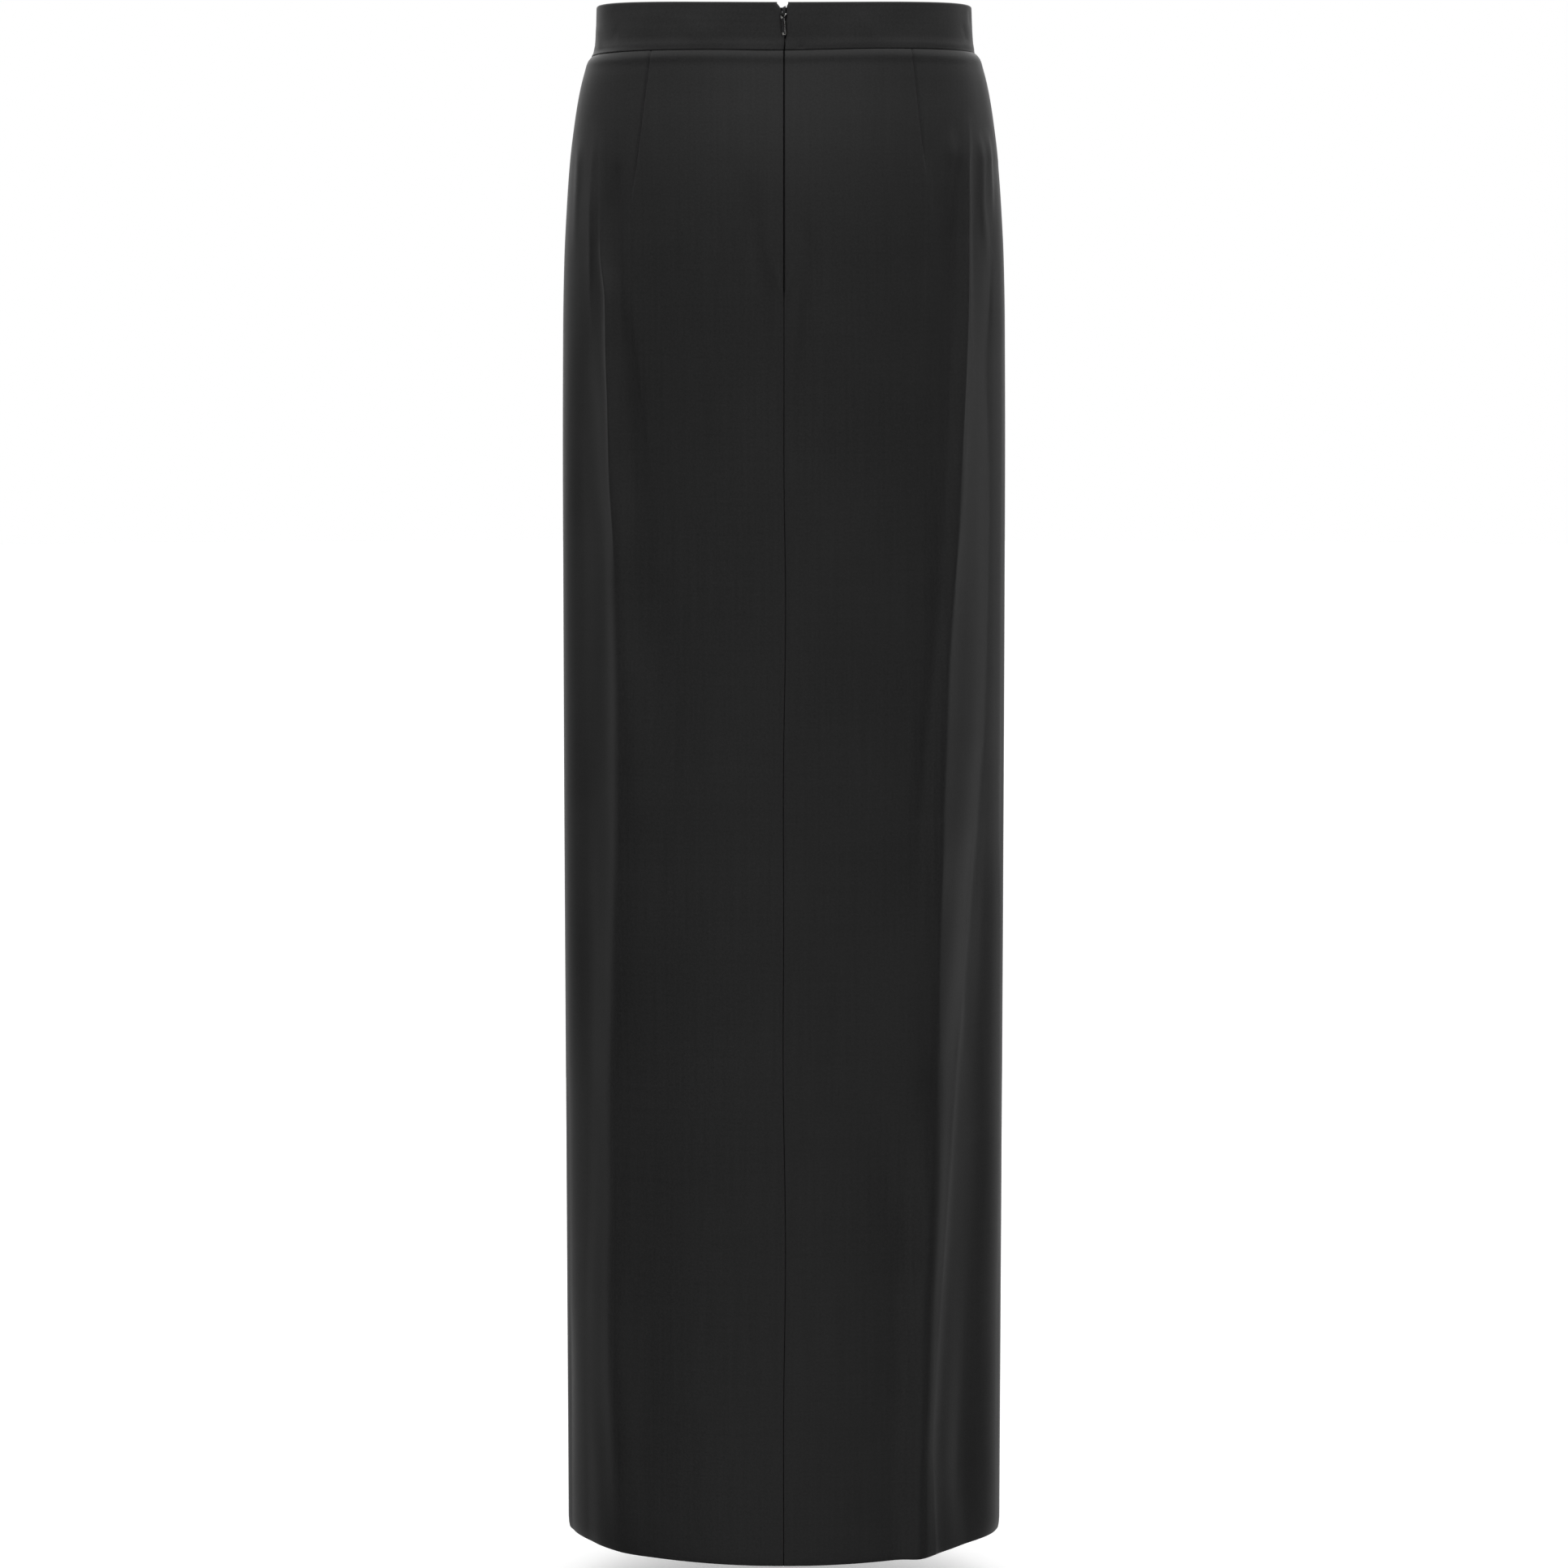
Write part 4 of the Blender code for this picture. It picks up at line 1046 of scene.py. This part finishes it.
bpy.ops.object.shade_smooth_by_angle(angle=math.radians(40.0))


def nylon_finish():
    """Black nylon: smooth and slightly glossy, with faint drawing lines."""
    made = Finish("black_nylon", specular=0.5)
    place = made.node("ShaderNodeTexCoord", {}, {}, 3)
    lines = made.noise(made.stretched(place, (300.0, 5000.0, 5000.0)), 1.0, 2.0)
    color = made.mix(lines, (0.010, 0.010, 0.011), (0.020, 0.020, 0.022))
    return made.surface(color, 0.28 + 0.15 * lines, made.bump(lines, 0.2, 0.00003))


zip_coil.data.materials.append(nylon_finish())
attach(zip_coil, CREPE_BODY)


# ---------------------------------------------------------------- zip slider
# Cast metal, lacquered dark: a body that grips the coils from the wearer's
# side, and a rib, an eye and a leaning spur between the ends of the band.

PIVOT_Y, PIVOT_Z = -0.0999, 0.0087
BODY_LOW, BODY_HIGH = (-0.0033, -0.0944, 0.0038), (0.0033, -0.0918, 0.0120)
FLANGE_X = 0.0025
FLANGE_REACH = 0.0011
BODY_BEVEL = 0.00035
RECESS_BORDER, RECESS_DEPTH = 0.0007, 0.0003
ARM_SHARE, ARM_SINK, ARM_BEVEL = 0.98, 0.0004, 0.0001
RIB_SIZE = (0.0025, 0.0034, 0.0060)
RIB_PLACE = (0.0, -0.0959, 0.0113)
RIB_SLOPE, RIB_BEVEL = 0.55, 0.0005
EYE_X, EYE_THICKNESS = -0.00120, 0.0009
EYE_RADIUS, EYE_BEVEL = 0.00155, 0.0002
EYE_HOLE_RADIUS, EYE_HOLE_LENGTH = 0.00082, 0.004
SPUR_CENTRE = (0.00070, -0.0985, 0.0074)
SPUR_LOW, SPUR_HIGH = (0.00032, -0.0994, 0.0058), (0.00108, -0.0950, 0.0090)
SPUR_LEAN, SPUR_BEVEL = math.radians(-32.0), 0.0003


def faces_where(piece, test):
    """In edit mode, selects the faces whose centre and normal pass a test."""
    bpy.ops.mesh.select_mode(type="FACE")
    mesh = bmesh.from_edit_mesh(piece.data)
    for face in mesh.faces:
        face.select_set(test(face.calc_center_median(), face.normal))
    bmesh.update_edit_mesh(piece.data)


def block(name, low, high, bevel=0.0, segments=1):
    """A cube at its size and place with softened edges."""
    deselect_all()
    middle = [(a + b) / 2 for a, b in zip(low, high)]
    bpy.ops.mesh.primitive_cube_add(size=1.0, location=middle)
    piece = bpy.context.object
    piece.scale = [b - a for a, b in zip(low, high)]
    finish_object(name)
    if bevel:
        soften(piece, bevel, segments)
    return piece


def soften(piece, width, segments):
    edges = piece.modifiers.new("Edges", "BEVEL")
    edges.width = width
    edges.segments = segments
    edges.limit_method = "ANGLE"
    apply_modifier(piece, "Edges")


def apply_modifier(piece, name):
    choose(piece)
    bpy.ops.object.modifier_apply(modifier=name)


def combine(piece, other, operation):
    cut = piece.modifiers.new("Combine", "BOOLEAN")
    cut.operation = operation
    cut.object = other
    apply_modifier(piece, "Combine")
    bpy.data.objects.remove(other, do_unlink=True)


def disc(name, x, radius, thickness, vertices):
    """A short cylinder across the tab's pivot."""
    deselect_all()
    bpy.ops.mesh.primitive_cylinder_add(
        vertices=vertices, radius=radius, depth=thickness,
        location=(x, PIVOT_Y, PIVOT_Z), rotation=(0.0, math.radians(90.0), 0.0)
    )
    return finish_object(name)


def lean(piece, angle, centre):
    choose(piece)
    bpy.ops.object.mode_set(mode="EDIT")
    bpy.ops.mesh.select_all(action="SELECT")
    bpy.ops.transform.rotate(value=angle, orient_axis="Y", center_override=centre)
    bpy.ops.object.mode_set(mode="OBJECT")


slider = block("zip_slider_cast", BODY_LOW, BODY_HIGH)
bpy.ops.object.mode_set(mode="EDIT")
for cut_x in (-FLANGE_X, FLANGE_X):
    bpy.ops.mesh.select_all(action="SELECT")
    bpy.ops.mesh.bisect(plane_co=(cut_x, 0.0, 0.0), plane_no=(1.0, 0.0, 0.0))
faces_where(slider, lambda centre, normal: normal.y < -0.9 and abs(centre.x) > FLANGE_X)
bpy.ops.mesh.extrude_region_move(TRANSFORM_OT_translate={"value": (0.0, -FLANGE_REACH, 0.0)})
faces_where(slider, lambda centre, normal: normal.y > 0.9 and abs(centre.x) < FLANGE_X)
bpy.ops.mesh.inset(thickness=RECESS_BORDER, depth=-RECESS_DEPTH)
bpy.ops.object.mode_set(mode="OBJECT")
soften(slider, BODY_BEVEL, 2)

rib_low = [c - d / 2 for c, d in zip(RIB_PLACE, RIB_SIZE)]
rib_high = [c + d / 2 for c, d in zip(RIB_PLACE, RIB_SIZE)]
rib = block("rib", rib_low, rib_high, RIB_BEVEL, 3)
for point in rib.data.vertices:
    if point.co.z > RIB_PLACE[2]:
        point.co.z -= RIB_SLOPE * (rib_high[0] - point.co.x)
combine(slider, rib, "UNION")
eye = disc("eye", EYE_X, EYE_RADIUS, EYE_THICKNESS, 32)
soften(eye, EYE_BEVEL, 2)
combine(slider, eye, "UNION")
arm_low = (EYE_X - EYE_THICKNESS / 2, PIVOT_Y, PIVOT_Z - EYE_RADIUS * ARM_SHARE)
arm_high = (EYE_X + EYE_THICKNESS / 2, BODY_LOW[1] + ARM_SINK, PIVOT_Z + EYE_RADIUS * ARM_SHARE)
combine(slider, block("arm", arm_low, arm_high, ARM_BEVEL), "UNION")
spur = block("spur", SPUR_LOW, SPUR_HIGH, SPUR_BEVEL, 3)
lean(spur, SPUR_LEAN, SPUR_CENTRE)
combine(slider, spur, "UNION")
combine(slider, disc("eye_hole", 0.0, EYE_HOLE_RADIUS, EYE_HOLE_LENGTH, 24), "DIFFERENCE")
choose(slider)
bpy.ops.object.shade_smooth_by_angle(angle=math.radians(35.0))


def metal_finish(name, tone, highlight_mask):
    """Dark lacquered metal with a random mottle, and light metal painted where the given mask lies, as
    painted highlights.
    """
    made = Finish(name)
    place = made.node("ShaderNodeTexCoord", {}, {}, 3)
    mottle = made.noise(place, 900.0, 3.0)
    grain = made.noise(made.stretched(place, (9000.0, 9000.0, 1500.0)), 1.0, 2.0)
    deep, pale = (tone * 0.7, tone * 0.7, tone * 0.72), (tone * 1.5, tone * 1.5, tone * 1.52)
    dark = made.mix(2.2 * mottle - 0.7, deep, pale)
    # The mask's places get light metal: painted highlights, not wear.
    inputs = {0: highlight_mask(made, place, mottle), 6: dark, 7: (0.80, 0.79, 0.77, 1.0)}
    color = made.node("ShaderNodeMix", {"data_type": "RGBA"}, inputs, 2)
    made.shader.inputs["Metallic"].default_value = 0.9
    return made.surface(color, 0.16 + 0.10 * grain + 0.06 * mottle, made.bump(grain, 0.15, 0.00002))


def spur_painted_highlight(made, place, mottle):
    """Painted highlight: light metal painted on the front of the spur."""
    x, y = made.axis(place, 0), made.axis(place, 1)
    return made.ramp(x + 0.0004 * mottle, 0.0001, 0.0004) * made.ramp(0.0 - y, 0.0989, 0.0992)


slider.data.materials.clear()
slider.data.materials.append(metal_finish("dark_zip_metal", 0.12, spur_painted_highlight))
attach(slider, CREPE_BODY)
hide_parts("zip_slider")


# ---------------------------------------------------------------- pull tab
# A slim stamped tab that hangs by its bar in the slider's eye, with a long
# groove down its face.  It leans a little, and swings outwards on the eye.

PULL_LENGTH, PULL_WIDTH, PULL_THICKNESS = 0.0150, 0.0026, 0.0009
PULL_X, PULL_TOP = -0.00120, 0.0004
PULL_LEAN = math.radians(5.2)
LOOP_LOW, LOOP_HIGH = (-0.00080, -0.0022), (0.00080, -0.0004)
GROOVE_LOW, GROOVE_HIGH = (0.00025, -0.0128), (0.00080, -0.0030)
GROOVE_DEPTH = 0.00035
PULL_CORNER, PULL_BEVEL = 0.0008, 0.00008
LOOP_REACH, LOOP_BEVEL = 0.002, 0.0002
GROOVE_BEVEL = 0.0001
CHAMFER_WIDTH, CHAMFER_DEPTH = 0.00040, 0.00060
CHAMFER_X = PULL_X + PULL_WIDTH / 2 - CHAMFER_WIDTH

pull = block(
    "zip_pull_tab",
    (PULL_X - PULL_WIDTH / 2, PIVOT_Y - PULL_THICKNESS / 2, PIVOT_Z - PULL_LENGTH),
    (PULL_X + PULL_WIDTH / 2, PIVOT_Y + PULL_THICKNESS / 2, PIVOT_Z + PULL_TOP),
)
bpy.ops.object.mode_set(mode="EDIT")
bpy.ops.mesh.select_mode(type="EDGE")
work = bmesh.from_edit_mesh(pull.data)
for edge in work.edges:
    start, end = edge.verts[0].co, edge.verts[1].co
    edge.select_set(abs(start.x - end.x) < 1e-5 and abs(start.z - end.z) < 1e-5)
bmesh.update_edit_mesh(pull.data)
bpy.ops.mesh.bevel(offset=PULL_CORNER, segments=5, affect="EDGES")
bpy.ops.object.mode_set(mode="OBJECT")
bpy.ops.object.mode_set(mode="EDIT")
bpy.ops.mesh.select_all(action="SELECT")
bpy.ops.mesh.bisect(plane_co=(CHAMFER_X, 0.0, 0.0), plane_no=(1.0, 0.0, 0.0))
bpy.ops.mesh.select_mode(type="VERT")
work = bmesh.from_edit_mesh(pull.data)
for point in work.verts:
    beyond = point.co.x - CHAMFER_X
    if point.co.y < PIVOT_Y and beyond > 1e-6:
        point.co.y += CHAMFER_DEPTH * min(beyond / CHAMFER_WIDTH, 1.0)
bmesh.update_edit_mesh(pull.data)
bpy.ops.object.mode_set(mode="OBJECT")
loop = block(
    "loop",
    (PULL_X + LOOP_LOW[0], PIVOT_Y - LOOP_REACH, PIVOT_Z + LOOP_LOW[1]),
    (PULL_X + LOOP_HIGH[0], PIVOT_Y + LOOP_REACH, PIVOT_Z + LOOP_HIGH[1]),
    LOOP_BEVEL, 2,
)
combine(pull, loop, "DIFFERENCE")
groove = block(
    "groove",
    (PULL_X + GROOVE_LOW[0], PIVOT_Y - PULL_THICKNESS, PIVOT_Z + GROOVE_LOW[1]),
    (PULL_X + GROOVE_HIGH[0], PIVOT_Y - PULL_THICKNESS / 2 + GROOVE_DEPTH, PIVOT_Z + GROOVE_HIGH[1]),
    GROOVE_BEVEL,
)
combine(pull, groove, "DIFFERENCE")
soften(pull, PULL_BEVEL, 1)
lean(pull, PULL_LEAN, (0.0, PIVOT_Y, PIVOT_Z))
bpy.ops.object.shade_smooth_by_angle(angle=math.radians(35.0))


def tab_painted_highlights(made, place, mottle):
    """Painted highlights: light metal painted on the tab's right-hand bevel, along its tip's edge, and on
    the left corners of its tip and its bar.
    """
    turned = {"Location": (-PIVOT_Z * math.sin(PULL_LEAN), 0.0, PIVOT_Z * (1 - math.cos(PULL_LEAN)))}
    turned["Rotation"] = (0.0, PULL_LEAN, 0.0)
    turned["Vector"] = place
    in_tab = made.node("ShaderNodeMapping", {}, turned)
    x, up = made.axis(in_tab, 0) - PULL_X, made.axis(in_tab, 2) - PIVOT_Z
    half = PULL_WIDTH / 2
    bevel = made.ramp(x + 0.0002 * mottle, half - CHAMFER_WIDTH - 0.0001, half - CHAMFER_WIDTH + 0.0001)
    bevel = bevel * made.ramp(0.0 - up, 0.0032, 0.0037)
    tip = made.ramp(0.0004 * mottle - x, 0.0002, 0.0005)
    tip = tip * made.ramp(0.0 - up, PULL_LENGTH - 0.0020, PULL_LENGTH - 0.0014)
    tip_edge = made.ramp(0.0 - up, PULL_LENGTH - 0.0006, PULL_LENGTH - 0.0003)
    bar = made.ramp(0.0004 * mottle - x, 0.0, 0.0003) * made.ramp(0.0 - up, 0.0014, 0.0019)
    bar = bar * made.ramp(up, -0.0037, -0.0032)
    return made.ramp(bevel + tip + tip_edge + bar, 0.0, 1.0)


pull.data.materials.clear()
# The tab's metal is the slider's metal painted darker (tone 0.08 against 0.12) as painted shade, with
# painted highlights on its edges.
pull.data.materials.append(metal_finish("pull_metal_painted_shade_and_highlights", 0.08, tab_painted_highlights))
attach(pull, "pull_tab")
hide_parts("zip_pull")
